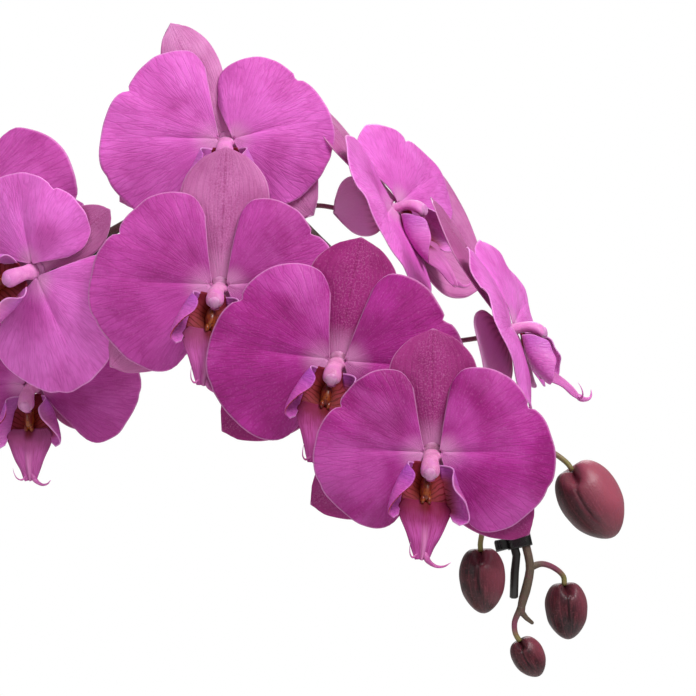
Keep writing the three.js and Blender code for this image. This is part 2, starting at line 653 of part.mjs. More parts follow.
function leaf([azimuth, foot, rise, bend, length, width]) {
  const a = rad(azimuth);
  const n = 24;
  const line = [[2, foot]];
  for (let i = 1; i <= n; i++) {
    const t = (i - 0.5) / n;
    const angle = rad(rise - bend * t ** 1.25);
    const [r, z] = line[i - 1];
    line.push([r + (Math.cos(angle) * length) / n, z + (Math.sin(angle) * length) / n]);
  }
  const surface = (u, v) => {
    const s = 2 * v - 1;
    const k = clamp(u, 0, 1) * n;
    const i = Math.min(Math.floor(k), n - 1);
    const f = k - i;
    const r = line[i][0] * (1 - f) + line[i + 1][0] * f;
    const z = line[i][1] * (1 - f) + line[i + 1][1] * f;
    const w = along(LEAF_WIDTH, u) * width * 0.5;
    const keel = (0.62 - 0.55 * u) * Math.abs(s) * w + 1.6 * (1 - Math.exp(-((s / 0.12) ** 2)));
    const tilt = rad(rise - bend * u ** 1.25);
    const rr = r - Math.sin(tilt) * keel;
    const zz = z + Math.cos(tilt) * keel;
    return V(rr * Math.cos(a) - s * w * Math.sin(a), rr * Math.sin(a) + s * w * Math.cos(a), zz);
  };
  return blade(surface, 6, 4, (u) => 2.6 - 1.2 * u);
}
const crown = turned([[0, CROWN.bottom], [CROWN.radius, CROWN.bottom], [CROWN.radius, 128],
  [8, CROWN.shoulder], [5, CROWN.tip], [0, CROWN.tip]], 8);
root.add(named('leaves', join([crown, ...LEAVES.map(leaf)]), M.leaf));

// Air roots
const C = CROWN.radius + GAP;
const rootAt = (deg, r, z) => V(r * Math.cos(rad(deg)), r * Math.sin(rad(deg)), z);
const ROOTS = [
  [
    [268, C + 0.7, 117], [266, 20, 121], [262, 38, 120], [256, 54, 123], [250, 66, 129.5],
    [247, 76, 127], [246, 80, 112], [244, 79, 94], [240, 77, 78],
  ],
  [
    [312, C + 0.7, 116.5], [316, 22, 119], [324, 38, 117],
    [330, 52, 113], [334, 58, 104],
  ],
  [
    [222, C + 0.7, 116.5], [216, 22, 120], [206, 36, 118],
    [200, 50, 112.5], [198, 56, 103],
  ],
  [
    [52, C + 0.7, 117], [54, 24, 120], [64, 40, 119], [72, 54, 122],
    [76, 66, 129.5], [77, 75.5, 128], [78, 80, 116], [80, 80, 100],
  ],
  [
    [128, C + 0.7, 116.5], [132, 22, 119.5], [140, 38, 117],
    [146, 51, 112], [148, 56, 103],
  ],
];
const rootTube = (list, grow) =>
  tube(list.map((p) => rootAt(...p)), (t) => 2.7 - 0.7 * t + grow, list.length > 6 ? 11 : 6, 5);
ROOTS.forEach((list, i) => root.add(named(`root_${i + 1}`, tidy(rootTube(list, 0)), M.root)));

// Pot and bark
const potWall = (z) => {
  const up = z / POT.height;
  return POT.footRadius + (POT.rimRadius - POT.footRadius) * (0.35 * smooth(clamp(up, 0, 1)) + 0.65 * up);
};
const potIn = (z) => potWall(z) - POT.wall;
const potProfile = [[0, 0], [POT.footRadius - 1.5, 0], [POT.footRadius, 1.5]];
for (const z of [60, 112]) potProfile.push([potWall(z), z]);
potProfile.push(
  [POT.rimRadius + 1, 114], [POT.rimRadius + 1.4, 123.6], [POT.rimRadius, POT.height],
  [POT.rimRadius - 3.6, POT.height], [POT.rimRadius - 4.9, 123.4]);
for (const z of [60, 14]) potProfile.push([potIn(z), z]);
potProfile.push([potIn(POT.floor) - 5, POT.floor], [0, POT.floor]);
root.add(named('pot', tidy(turned(potProfile, POT.sides)), M.pot));

const barkProfile = [[0, POT.floor + 0.4], [potIn(POT.floor) - 6, POT.floor + 0.4]];
for (const z of [14, 60]) barkProfile.push([potIn(z) - 1.5, z]);
barkProfile.push([potIn(BARK.top) - 2.2, BARK.top - 2], [0, BARK.top + 1]);
let bark = solid(turned(barkProfile, 18));
for (let i = 0; i < BARK.chips; i++) {
  const ring = Math.sqrt((i + 0.5) / BARK.chips);
  const a = i * 2.39996 + random() * 0.5;
  const r = 6 + ring * 46;
  const chip = new THREE.BoxGeometry(11 + 8 * random(), 7 + 4 * random(), 4.5 + 2.5 * random())
    .rotateX((random() - 0.5) * 0.9)
    .rotateY((random() - 0.5) * 0.8)
    .rotateZ(random() * Math.PI)
    .translate(r * Math.cos(a), r * Math.sin(a), BARK.top + 0.2 + random() * 1.6);
  bark = bark.add(solid(chip));
}
const hole = (x, y, radius, bottom, sides) =>
  solid(turned([[0, bottom], [radius, bottom], [radius, 150], [0, 150]], sides).translate(x, y, 0));
bark = bark.subtract(hole(0, 0, CROWN.radius + 0.5, CROWN.bottom - 0.4, 8));
bark = bark.subtract(hole(rodFoot.x, rodFoot.y, ROD.radius + 0.65, rodFoot.z - 0.4, ROD.sides));
for (const list of ROOTS) bark = bark.subtract(solid(rootTube(list, 0.4)));
root.add(named('bark', fromSolid(bark), M.bark));

export default root;
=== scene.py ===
"""Potted moth orchid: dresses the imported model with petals, lips, buds, leaves, bark and glaze.

Laid out as an add-on and run as a script. Lengths are millimetres in the bloom and stem code, and
become metres where a mesh is placed.
"""
import math
import random

import bmesh
import bpy
from bpy.props import FloatProperty, FloatVectorProperty, IntProperty, PointerProperty
from mathutils import Matrix, Vector, noise


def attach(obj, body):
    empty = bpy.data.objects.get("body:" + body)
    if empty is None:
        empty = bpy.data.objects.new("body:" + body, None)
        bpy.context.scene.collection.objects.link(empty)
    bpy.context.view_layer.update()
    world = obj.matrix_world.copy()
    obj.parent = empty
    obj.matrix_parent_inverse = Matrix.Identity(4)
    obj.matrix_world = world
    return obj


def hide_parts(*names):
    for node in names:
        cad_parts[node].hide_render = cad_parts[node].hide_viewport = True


bl_info = {
    "name": "Potted moth orchid",
    "version": (1, 0, 0),
    "blender": (4, 5, 0),
    "location": "View3D > Sidebar > Orchid",
    "description": "Builds the looks of a potted moth orchid around its packed model",
    "category": "Object",
}

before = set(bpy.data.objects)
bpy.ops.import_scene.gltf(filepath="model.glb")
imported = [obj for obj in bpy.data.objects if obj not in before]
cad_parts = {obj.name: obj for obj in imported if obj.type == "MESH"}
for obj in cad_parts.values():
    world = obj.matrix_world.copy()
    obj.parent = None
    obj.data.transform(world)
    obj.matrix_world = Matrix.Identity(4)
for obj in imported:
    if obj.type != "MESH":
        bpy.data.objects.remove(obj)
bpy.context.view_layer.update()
MM = 0.001
BODY = "root"

# Grid cells along and across each kind of sheet, and sides of each kind of tube
GRID = {"petal": (40, 72), "sepal": (44, 22), "lobe": (48, 26), "trough": (22, 20), "ear": (34, 22),
        "bract": (10, 8), "leaf": (64, 20)}
SIDES = {"receptacle": 24, "column": 28, "stem": 16, "stalk": 12, "sheath": 20, "rod": 18, "root": 14,
         "crown": 32, "bark": 64, "pot": 128, "clip": 40, "floor": 96}
SCALE_THICKNESS = 0.5 * MM
LEAF_THICKNESS = 1.9 * MM

WHITE = (1, 1, 1, 1)
WARM_WHITE = (1, 0.985, 0.97, 1)
FLOOR_RADIUS = 1.2
COLOUR = {"subtype": "COLOR", "size": 3, "min": 0, "max": 1}


def srgb(code):
    """Linear colour of a hex code."""
    parts = [int(code[i:i + 2], 16) / 255 for i in (0, 2, 4)]
    return tuple(p / 12.92 if p <= 0.04045 else ((p + 0.055) / 1.055) ** 2.4 for p in parts)


class OrchidBloomSettings(bpy.types.PropertyGroup):
    """Colours and sizes of the open blooms."""
    petal: FloatVectorProperty(
        name="Petal", description="Colour of the petals of the deepest coloured blooms",
        default=srgb("A62488"), **COLOUR)
    petal_light: FloatVectorProperty(
        name="Light petal", description="Colour of the petals of the lightest blooms",
        default=srgb("E272D0"), **COLOUR)
    heart: FloatVectorProperty(
        name="Heart", description="Pale colour of the petals and sepals beside the column",
        default=srgb("D690C2"), **COLOUR)
    sepal: FloatVectorProperty(
        name="Sepal", description="Colour of the deepest coloured sepals",
        default=srgb("9A2074"), **COLOUR)
    sepal_light: FloatVectorProperty(
        name="Light sepal", description="Colour of the lightest sepals",
        default=srgb("E8A0D6"), **COLOUR)
    lip: FloatVectorProperty(
        name="Lip", description="Main colour of the lip",
        default=srgb("B6509C"), **COLOUR)
    lip_throat: FloatVectorProperty(
        name="Lip throat", description="Dark colour at the throat of the lip",
        default=srgb("5E1014"), **COLOUR)
    thickness: FloatProperty(
        name="Petal thickness", description="Thickness of petals, sepals and lip",
        subtype="DISTANCE", unit="LENGTH", min=0.0003, max=0.0012, default=0.0006)


class OrchidPlantSettings(bpy.types.PropertyGroup):
    """Colours of the stem, buds, leaves and roots."""
    stem: FloatVectorProperty(
        name="Stem", description="Brown of the flower stem",
        default=srgb("54463A"), **COLOUR)
    stem_green: FloatVectorProperty(
        name="Stem green", description="Green of the lower stem and of the bud stalks",
        default=srgb("7C7A3E"), **COLOUR)
    bud: FloatVectorProperty(
        name="Bud", description="Maroon of the closed buds",
        default=srgb("40101A"), **COLOUR)
    leaf: FloatVectorProperty(
        name="Leaf", description="Green of the leaves",
        default=srgb("2F5E26"), **COLOUR)
    root: FloatVectorProperty(
        name="Root", description="Silvery green of the air roots",
        default=srgb("A7B097"), **COLOUR)


class OrchidPotSettings(bpy.types.PropertyGroup):
    """The pot and what fills it."""
    glaze: FloatVectorProperty(
        name="Glaze", description="Colour of the plain glaze",
        default=srgb("E9E5DC"), **COLOUR)
    bark: FloatVectorProperty(
        name="Bark", description="Colour of the bark chips",
        default=srgb("6B4630"), **COLOUR)
    chips: IntProperty(
        name="Chips", description="Number of loose chips on top of the bark",
        min=50, max=600, default=300)


class OrchidStageSettings(bpy.types.PropertyGroup):
    """Camera and light."""
    lens: FloatProperty(
        name="Lens", description="Focal length on a 36 mm sensor", subtype="DISTANCE_CAMERA",
        min=20, max=400, default=142.3)
    eye: FloatVectorProperty(
        name="Eye", description="Place of the camera, which looks level along +Y",
        subtype="TRANSLATION", unit="LENGTH", size=3, default=(0.218, -1.325, 0.531))
    key_power: FloatProperty(
        name="Key light", description="Power of the soft light above and to the right",
        min=0, max=500, default=56)
    sky: FloatProperty(
        name="Sky", description="Strength of the even white light from all round",
        min=0, max=4, default=0.34)


# Curves and tables
def along(table, x):
    """Value at x on a list of (x, value) pairs, with a monotone, rounded run between them."""
    last = len(table) - 1
    if x <= table[0][0]:
        return table[0][1]
    if x >= table[last][0]:
        return table[last][1]
    i = 0
    while x > table[i + 1][0]:
        i += 1
    (x1, y1), (x2, y2) = table[i], table[i + 1]
    x0, y0 = table[max(i - 1, 0)]
    x3, y3 = table[min(i + 2, last)]
    t = (x - x1) / (x2 - x1)
    m1 = (y2 - y0) / (x2 - x0) * (x2 - x1) if i > 0 else y2 - y1
    m2 = (y3 - y1) / (x3 - x1) * (x2 - x1) if i + 2 <= last else y2 - y1
    return ((2 * t ** 3 - 3 * t ** 2 + 1) * y1 + (t ** 3 - 2 * t ** 2 + t) * m1
            + (-2 * t ** 3 + 3 * t ** 2) * y2 + (t ** 3 - t ** 2) * m2)


def clamp(x, low=0.0, high=1.0):
    return max(low, min(high, x))


def bump(x, middle, width):
    """Bell curve of height 1."""
    return math.exp(-(((x - middle) / width) ** 2))


def hump(x):
    """0 at 0 and at 1, and 1 half way."""
    return math.sin(math.pi * x)


def rotated(x, y, angle):
    """(x, y) turned by an angle in radians."""
    c, s = math.cos(angle), math.sin(angle)
    return x * c - y * s, x * s + y * c


class Route:
    """Smooth centripetal curve through points, read by its length."""
    STEPS = 200
    STEP_ASIDE = 1e-4

    def __init__(self, points):
        self.points = [Vector(p) for p in points]
        self.lengths = [0.0]
        here = self.raw(0)
        for i in range(1, self.STEPS + 1):
            there = self.raw(i / self.STEPS)
            self.lengths.append(self.lengths[-1] + (there - here).length)
            here = there

    def raw(self, t):
        pts = self.points
        last = len(pts) - 1
        place = last * t
        i = min(int(place), last - 1)
        w = place - i
        p1, p2 = pts[i], pts[i + 1]
        p0 = pts[i - 1] if i > 0 else p1 * 2 - p2
        p3 = pts[i + 2] if i + 2 <= last else p2 * 2 - p1
        d0, d1, d2 = (math.sqrt((b - a).length) for a, b in ((p0, p1), (p1, p2), (p2, p3)))
        m1 = ((p1 - p0) / d0 - (p2 - p0) / (d0 + d1) + (p2 - p1) / d1) * d1
        m2 = ((p2 - p1) / d1 - (p3 - p1) / (d1 + d2) + (p3 - p2) / d2) * d1
        return (p1 + m1 * w + (p2 * 3 - p1 * 3 - m1 * 2 - m2) * w ** 2
                + (p1 * 2 - p2 * 2 + m1 + m2) * w ** 3)

    def point(self, u):
        goal = clamp(u) * self.lengths[-1]
        low, high = 0, self.STEPS
        while high - low > 1:
            middle = (low + high) // 2
            if self.lengths[middle] <= goal:
                low = middle
            else:
                high = middle
        part = (goal - self.lengths[low]) / (self.lengths[high] - self.lengths[low])
        return self.raw((low + part) / self.STEPS)

    def tangent(self, u):
        before, after = max(u - self.STEP_ASIDE, 0), min(u + self.STEP_ASIDE, 1)
        return (self.point(after) - self.point(before)).normalized()

    def nearest(self, p, steps):
        return min(steps, key=lambda t: (self.point(t) - Vector(p)).length)


# Mesh helpers
def start_mesh():
    bm = bmesh.new()
    bm.loops.layers.uv.new("grain")
    bm.verts.layers.float.new("tone")
    bm.verts.layers.float.new("run")
    return bm


def paint(bm, verts, slot, tone):
    """Gives vertices a tone, and the faces at them a material slot and smooth shading."""
    tones = bm.verts.layers.float["tone"]
    for vert in verts:
        vert[tones] = tone
    for face in {f for vert in verts for f in vert.link_faces}:
        face.material_index = slot
        face.smooth = True


def sheet(bm, surface, nu, nv, place=Matrix(), slot=0, tone=0.5):
    """Grid laid on surface(u, v); u runs along the piece's first UV axis and v along its second."""
    made = bmesh.ops.create_grid(bm, x_segments=nu, y_segments=nv, size=0.5, calc_uvs=True)["verts"]
    runs = bm.verts.layers.float["run"]
    for vert in made:
        u, v = vert.co.x + 0.5, vert.co.y + 0.5
        vert.co = place @ (surface(clamp(u), clamp(v)) * MM)
        vert[runs] = u
    paint(bm, made, slot, tone)


def loft(bm, stations, sides, place=Matrix(), slot=0, tone=0.5):
    """Closed tube: a circle extruded from station to station (centre, across, up, (rx, ry), run)."""
    unit = bm.verts.layers.float_vector.get("unit") or bm.verts.layers.float_vector.new("unit")
    runs = bm.verts.layers.float["run"]

    def put(verts, station):
        centre, across, up, (rx, ry), run = station
        for vert in verts:
            at = vert[unit]
            vert.co = place @ ((centre + across * (rx * at.x) + up * (ry * at.y)) * MM)
            vert[runs] = run

    ring = bmesh.ops.create_circle(bm, cap_ends=True, segments=sides, radius=1)["verts"]
    for vert in ring:
        vert[unit] = vert.co.copy()
    first_cap = ring[0].link_faces[0]
    faces = {first_cap}
    put(ring, stations[0])
    everything = list(ring)
    edges = list(first_cap.edges)
    for station in stations[1:]:
        made = bmesh.ops.extrude_edge_only(bm, edges=edges)["geom"]
        ring = [g for g in made if isinstance(g, bmesh.types.BMVert)]
        edges = [g for g in made if isinstance(g, bmesh.types.BMEdge) and g.is_boundary]
        faces.update(g for g in made if isinstance(g, bmesh.types.BMFace))
        put(ring, station)
        everything += ring
    faces.update(bmesh.ops.contextual_create(bm, geom=edges)["faces"])
    bmesh.ops.recalc_face_normals(bm, faces=list(faces))
    paint(bm, everything, slot, tone)
    first_cap.smooth = False


def round_stations(route, count, radius):
    """Stations along a route, with a frame that doesn't twist; radius(t) is one number."""
    stations = []
    across = route.tangent(0).orthogonal().normalized()
    for i in range(count + 1):
        t = i / count
        ahead = route.tangent(t)
        across = (across - ahead * across.dot(ahead)).normalized()
        r = radius(t)
        stations.append((route.point(t), across, ahead.cross(across), (r, r), t))
    return stations


def tapered_end(stations, length):
    """Adds two smaller stations past the last one, so that the tube ends rounded."""
    centre, across, up, (rx, ry), run = stations[-1]
    ahead = across.cross(up).normalized()
    for part, shrink in ((0.6, 0.8), (1.0, 0.35)):
        stations.append((centre + ahead * length * part, across, up, (rx * shrink, ry * shrink), run))
    return stations


def blob(bm, centre, radii, turn, place, slot, rings, tone=0.5):
    """Rounded lump from a sphere."""
    shape = turn.to_4x4() @ Matrix.Diagonal((*[r * MM for r in radii], 1))
    made = bmesh.ops.create_uvsphere(
        bm, u_segments=rings * 2, v_segments=rings, radius=1,
        matrix=place @ Matrix.Translation(Vector(centre) * MM) @ shape)["verts"]
    paint(bm, made, slot, tone)


def spin_profile(bm, profile, sides, place=Matrix(), slot=0, tone=0.5):
    """Solid of revolution about Z from (radius, height) pairs that start and end on the axis."""
    verts = [bm.verts.new(Vector((r, 0, z)) * MM) for r, z in profile]
    edges = [bm.edges.new(pair) for pair in zip(verts, verts[1:])]
    bmesh.ops.spin(bm, geom=verts + edges, cent=(0, 0, 0), axis=(0, 0, 1), angle=math.tau,
                   steps=sides, use_merge=True)
    bmesh.ops.remove_doubles(bm, verts=bm.verts, dist=1e-6)
    bmesh.ops.recalc_face_normals(bm, faces=bm.faces)
    for vert in bm.verts:
        vert.co = place @ vert.co
    paint(bm, bm.verts, slot, tone)


def finish_piece(name, bm, materials, nodes=(), thickness=0.0, backs=0):
    """Makes the mesh an object of the plant; backs is the step from a face's material to its back's."""
    unit = bm.verts.layers.float_vector.get("unit")
    if unit:
        bm.verts.layers.float_vector.remove(unit)
    mesh = bpy.data.meshes.new(name)
    bm.to_mesh(mesh)
    bm.free()
    for material in materials:
        mesh.materials.append(material)
    piece = bpy.data.objects.new(name, mesh)
    bpy.context.scene.collection.objects.link(piece)
    if thickness:
        wall = piece.modifiers.new("wall", "SOLIDIFY")
        wall.thickness = thickness
        wall.offset = 0
        wall.material_offset = backs
        wall.use_quality_normals = True
    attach(piece, BODY)
    if nodes:
        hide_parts(*nodes)


# Materials
def rgba(colour):
    """Colour with its fourth value, from a hex code or from three linear values."""
    return (*(srgb(colour) if isinstance(colour, str) else colour), 1.0)


class Field:
    """An output of a material's nodes, to reckon with as with a number."""

    def __init__(self, finish, socket):
        self.finish = finish
        self.socket = socket

    def math(self, operation, other=0.0):
        return self.finish.field("ShaderNodeMath", {0: self, 1: other}, operation=operation)

    def __add__(self, other):
        return self.math("ADD", other)

    def __sub__(self, other):
        return self.math("SUBTRACT", other)

    def __rsub__(self, other):
        return self.finish.field("ShaderNodeMath", {0: other, 1: self}, operation="SUBTRACT")

    def __mul__(self, other):
        return self.math("MULTIPLY", other)

    def __abs__(self):
        return self.math("ABSOLUTE")

    def sine(self):
        return self.math("SINE")

    def least(self, other):
        return self.math("MINIMUM", other)

    def spread(self, low, high, to_low=0.0, to_high=1.0, kind="SMOOTHSTEP"):
        """The field's run from low to high laid out from to_low to to_high, and level beyond both."""
        return self.finish.field("ShaderNodeMapRange", {
            "Value": self, "From Min": low, "From Max": high, "To Min": to_low, "To Max": to_high,
        }, interpolation_type=kind)


class Finish:
    """A procedural material being put together; base is the colour laid down so far."""

    def __init__(self, name, roughness, **fixed):
        self.material = bpy.data.materials.new(name)
        self.material.use_nodes = True
        self.tree = self.material.node_tree
        self.shader = self.tree.nodes["Principled BSDF"]
        self.base = None
        for key, value in {"Roughness": roughness, **fixed}.items():
            self.shader.inputs[key.replace("_", " ")].default_value = value

    def feed(self, socket, value):
        """Links a field to a socket, or sets the socket's own value."""
        if isinstance(value, Field):
            self.tree.links.new(value.socket, socket)
        else:
            socket.default_value = value

    def field(self, kind, inputs=(), output=0, **settings):
        """One output of a new node."""
        node = self.tree.nodes.new(kind)
        for key, value in settings.items():
            setattr(node, key, value)
        for key, value in dict(inputs).items():
            self.feed(node.inputs[key], value)
        return Field(self, node.outputs[output])

    def mix(self, factor, a, b, blend="MIX"):
        a, b = (c if isinstance(c, Field) else rgba(c) for c in (a, b))
        return self.field("ShaderNodeMix", {0: factor, 6: a, 7: b}, 2,
                          data_type="RGBA", blend_type=blend, clamp_factor=True)

    def over(self, factor, colour):
        """Lays a colour over the base."""
        self.base = self.mix(factor, self.base, colour)

    def shade(self, pattern, amount):
        """Darkens the base where the pattern is high, towards a deeper magenta."""
        self.base = self.mix(pattern * amount, self.base, SHADE, "MULTIPLY")

    def parts(self, vector):
        """The first two values of a vector."""
        split = self.field("ShaderNodeSeparateXYZ", {0: vector}).socket.node
        return Field(self, split.outputs[0]), Field(self, split.outputs[1])

    def uv(self):
        return self.parts(self.field("ShaderNodeUVMap", uv_map="grain"))

    def tone(self, name="tone"):
        return self.field("ShaderNodeAttribute", output="Fac", attribute_name=name)

    def where(self, at=None):
        """What a pattern is laid on: a vector, a pair of fields, or else the object's own place."""
        if at is None:
            return self.field("ShaderNodeTexCoord", output="Object")
        return at if isinstance(at, Field) else self.field("ShaderNodeCombineXYZ", enumerate(at))

    def noise(self, scale, detail=2.0, rough=0.5, distortion=0.0, at=None):
        return self.field("ShaderNodeTexNoise", {
            "Vector": self.where(at), "Scale": scale, "Detail": detail, "Roughness": rough,
            "Distortion": distortion}, "Fac")

    def cells(self, scale, feature="F1", mess=1.0, at=None):
        return self.field("ShaderNodeTexVoronoi", {
            "Vector": self.where(at), "Scale": scale, "Randomness": mess}, "Distance", feature=feature)

    def gloss(self, roughness):
        self.feed(self.shader.inputs["Roughness"], roughness)

    def close(self, height, strength, distance):
        """Ends the material with its base colour and a fine relief."""
        self.feed(self.shader.inputs["Base Color"], self.base)
        self.feed(self.shader.inputs["Normal"], self.field("ShaderNodeBump", {
            "Height": height, "Strength": strength, "Distance": distance}))
        return self.material


TISSUE = {
    "Subsurface_Weight": 0.18, "Subsurface_Radius": (1.0, 0.35, 0.75), "Subsurface_Scale": 0.0016,
    "Specular_IOR_Level": 0.16,
}
LIP_TISSUE = {**TISSUE, "Specular_IOR_Level": 0.08}
THROAT_TISSUE = {**TISSUE, "Specular_IOR_Level": 0.1}
COLUMN_TISSUE = {**TISSUE, "Subsurface_Weight": 0.3}
SHADE = (0.70, 0.44, 0.62)
VEIN_WANDER = 0.025
MIDRIB = 0.5
PETAL_CREASE = 0.455
PLUM = "7A3A52"


def vein_lines(finish, u, v, across, length, width):
    """Fine veins that run along u and fork: the edges of long cells."""
    bend = (finish.noise(1.0, 2, at=(u * 3, v * 9)) - 0.5) * VEIN_WANDER
    edge = finish.cells(1.0, "DISTANCE_TO_EDGE", 0.85, (u * length, (v + bend) * across))
    return edge.spread(0.0, width, 1.0, 0.0)


def petal_finish(name, settings, back=False):
    finish = Finish(name, 0.46, **TISSUE)
    u, v = finish.uv()
    tone = finish.tone()
    veins = vein_lines(finish, u, v, 46, 3.4, 0.13)
    fine = finish.noise(1.0, 3, 0.6, at=(u * 9, v * 150))
    cloud = finish.noise(38, 3, 0.55)
    grain = finish.noise(1100, 2, 0.6)
    finish.base = finish.mix(tone, settings.petal, settings.petal_light)
    finish.shade(cloud.spread(0.36, 0.66), 0.62)
    finish.shade(finish.noise(24).spread(0.42, 0.64) * (1 - tone), 0.8)
    finish.shade(fine.spread(0.42, 0.72), 0.5)
    finish.over(finish.noise(17, 3, 0.6, 0.5).spread(0.48, 0.7, 0, 0.4), "DC6CCA")
    finish.shade(veins * u.spread(0.06, 0.35, 0.35, 1), 0.30)
    # painted glints: fine pale dots stand in for light sparkling on the velvety face
    finish.over(grain.spread(0.50, 0.78, 0, 0.10), "E79ADA")
    # painted shade along the crease in the middle of the petal
    crease = abs(v - PETAL_CREASE).spread(0.006, 0.0015) * u.spread(0.74, 0.5)
    finish.shade(crease * finish.noise(1.0, 1, at=(u * 30, v)).spread(0.35, 0.55), 0.75)
    # painted shadow: deeper colour low down beside the lip, where the lip shades the petal
    low = u.spread(0.12, 0.3) * u.spread(0.8, 0.45) * (v.spread(0.04, 0.2) * v.spread(0.47, 0.34))
    finish.shade(low * cloud.spread(0.3, 0.56, 0.35, 1), 0.6)
    # pale colour beside the column
    heart = (u + (fine - 0.5) * 0.1).spread(0.26, 0.03, 0, 0.8)
    finish.over(heart * v.spread(0.3, 0.5, 0.6, 1), settings.heart)
    # pale rim round the outer margin and the two sides
    rim = u.spread(0.982, 0.997).math("MAXIMUM", v.least(1 - v).spread(0.010, 0.002))
    finish.over(rim * 0.34, "EBB4E0")
    if back:
        finish.over(0.3, "D794C4")
    finish.gloss(cloud.spread(0.3, 0.7, 0.40, 0.54))
    return finish.close(veins * -0.5 + fine * 0.7 + grain * 0.35, 0.4, 0.0005)


def sepal_finish(name, settings, back=False):
    finish = Finish(name, 0.5, **TISSUE)
    u, v = finish.uv()
    off = abs(v - MIDRIB)
    middle = off.spread(0.34, 0.06)
    speckle = finish.noise(1.0, 3, 0.65, at=(u * 70, v * 44))
    lines = vein_lines(finish, u, v, 21, 2.4, 0.14)
    grain = finish.noise(1100, 2, 0.6)
    finish.base = finish.mix(finish.tone(), settings.sepal, settings.sepal_light)
    finish.shade(finish.noise(42, 3, 0.55).spread(0.36, 0.66), 0.6)
    finish.shade(lines, 0.26)
    # dark and light speckles along the middle, and a rib
    finish.shade(speckle.spread(0.48, 0.66) * middle, 0.5)
    finish.over(speckle.spread(0.48, 0.38) * middle * 0.5, finish.mix(0.42, finish.base, "D890C6"))
    rib = off.spread(0.022, 0.006) * finish.noise(1.0, 1, at=(u * 34, 0.3)).spread(0.36, 0.52)
    finish.shade(rib, 0.6)
    # pale foot, painted shadow of the petals along both sides of it, and a pale rim
    finish.over(u.spread(0.3, 0.04, 0, 0.7), settings.heart)
    finish.shade(off.spread(0.12, 0.42) * u.spread(0.55, 0.15), 0.75)
    finish.over(v.least(1 - v).least(1 - u).spread(0.016, 0.004, 0, 0.36), "E3A9D4")
    # painted glints: fine pale dots stand in for light sparkling on the velvety face
    finish.over(grain.spread(0.50, 0.78, 0, 0.12), "E2A2D2")
    if back:
        near = u.spread(0.55, 0.2)
        # the back is paler: partly its own colour and partly painted light, for light shining through it and
        # to lift it out of shade; the maroon foot and its stripes are its own colour
        finish.over(0.75, "FFC8F0")
        finish.over(near * 0.7, "B4607A")
        finish.over((v * 66).sine().spread(-0.2, 0.7) * near * 0.45, "7A2C4C")
    return finish.close(lines * -0.5 + grain * 0.4 + speckle * 0.6, 0.45, 0.0005)


def lighten_lip(finish):
    """Lightens the lips of the lighter blooms."""
    finish.over(finish.tone() * 0.42, "E68AD6")


def lip_blade_finish(settings):
    """The middle lobe: crimson throat, pale middle stripe, purple margins."""
    finish = Finish("lip_middle_lobe", 0.55, **LIP_TISSUE)
    u, v = finish.uv()
    off = abs(v - MIDRIB)
    lines = finish.noise(1.0, 3, 0.6, at=(u * 3, v * 44))
    cloud = finish.noise(120, 3, 0.6)
    finish.base = finish.mix(lines.spread(0.40, 0.64, 0, 0.8), settings.lip, "86285F")
    finish.over(off.spread(0.14, 0.0) * u.spread(0.3, 0.6) * 0.42, "E09CC6")
    finish.over(off.spread(0.30, 0.5, 0, 0.55), "7C2460")
    finish.over((u + (cloud - 0.5) * 0.3).spread(0.7, 0.04), "700F34")
    lighten_lip(finish)
    finish.over(off.spread(0.17, 0.03) * u.spread(0.30, 0.06) * 0.9, settings.lip_throat)
    return finish.close(lines, 0.5, 0.0007)


def lip_ear_finish(settings, inner):
    """The side lobes: purple outside, brownish pink with dark red stripes inside."""
    name, colour, foot = ("inner", "BC52AC", "A84AAA") if inner else ("outer", "B0469A", "9A44B0")
    finish = Finish(f"lip_ear_{name}", 0.38, **TISSUE)
    u, v = finish.uv()
    grain = finish.noise(700, 2, 0.6)
    veins = vein_lines(finish, v, u, 17, 2.0, 0.18)
    finish.base = finish.mix(u.spread(0.5, 0.05, 0, 0.7), colour, foot)
    finish.over(veins * 0.3, "822A7A")
    finish.over(grain.spread(0.5, 0.8, 0, 0.25), "DD93D3")
    lighten_lip(finish)
    if inner:
        wave = finish.noise(210)
        deep = (v + u * 0.12).spread(0.56, 0.08)
        finish.over(deep * (u.spread(0.06, 0.3) * u.spread(0.97, 0.78)), "8E3044")
        arcs = ((u + (wave - 0.5) * 0.16) * 92).sine()
        reach = (v + wave * 0.3).spread(0.36, 0.2)
        band = arcs.spread(0.35, 0.85) * (reach * (u.spread(0.26, 0.4) * u.spread(0.8, 0.6)))
        finish.over(band * 0.85, settings.lip_throat)
    else:
        finish.over(v.spread(0.7, 1.0) * u.spread(0.8, 0.4) * 0.35, "B0687C")
    # painted highlight: a pale rim along the ear's top, lower end and free margin, where light catches the
    # edges
    finish.over(u.least(1 - u).least(1 - v).spread(0.035, 0.008, 0, 0.4), "E6AEDD")
    return finish.close(grain - veins, 0.25, 0.0005)


def lip_throat_finish(settings):
    """The trough between the side lobes: orange brown with arching dark red stripes."""
    finish = Finish("lip_throat", 0.55, **THROAT_TISSUE)
    u, v = finish.uv()
    off = abs(v - MIDRIB)
    grain = finish.noise(500, 2, 0.6)
    wave = finish.noise(210)
    finish.base = finish.mix(off.spread(0.08, 0.45), "7C2412", "8A2C3E")
    finish.over(grain.spread(0.45, 0.75, 0, 0.4), "7A1F1E")
    arcs = ((u + off * 0.5 + (wave - 0.5) * 0.14) * 66).sine()
    finish.over(arcs.spread(0.4, 0.88, 0, 0.9) * u.spread(0.88, 0.7), settings.lip_throat)
    finish.over(u.spread(0.4, 0.1, 0, 0.85), "6E1A2C")
    finish.over(u.spread(0.6, 0.98), "6A0F34")
    return finish.close(grain, 0.3, 0.0005)


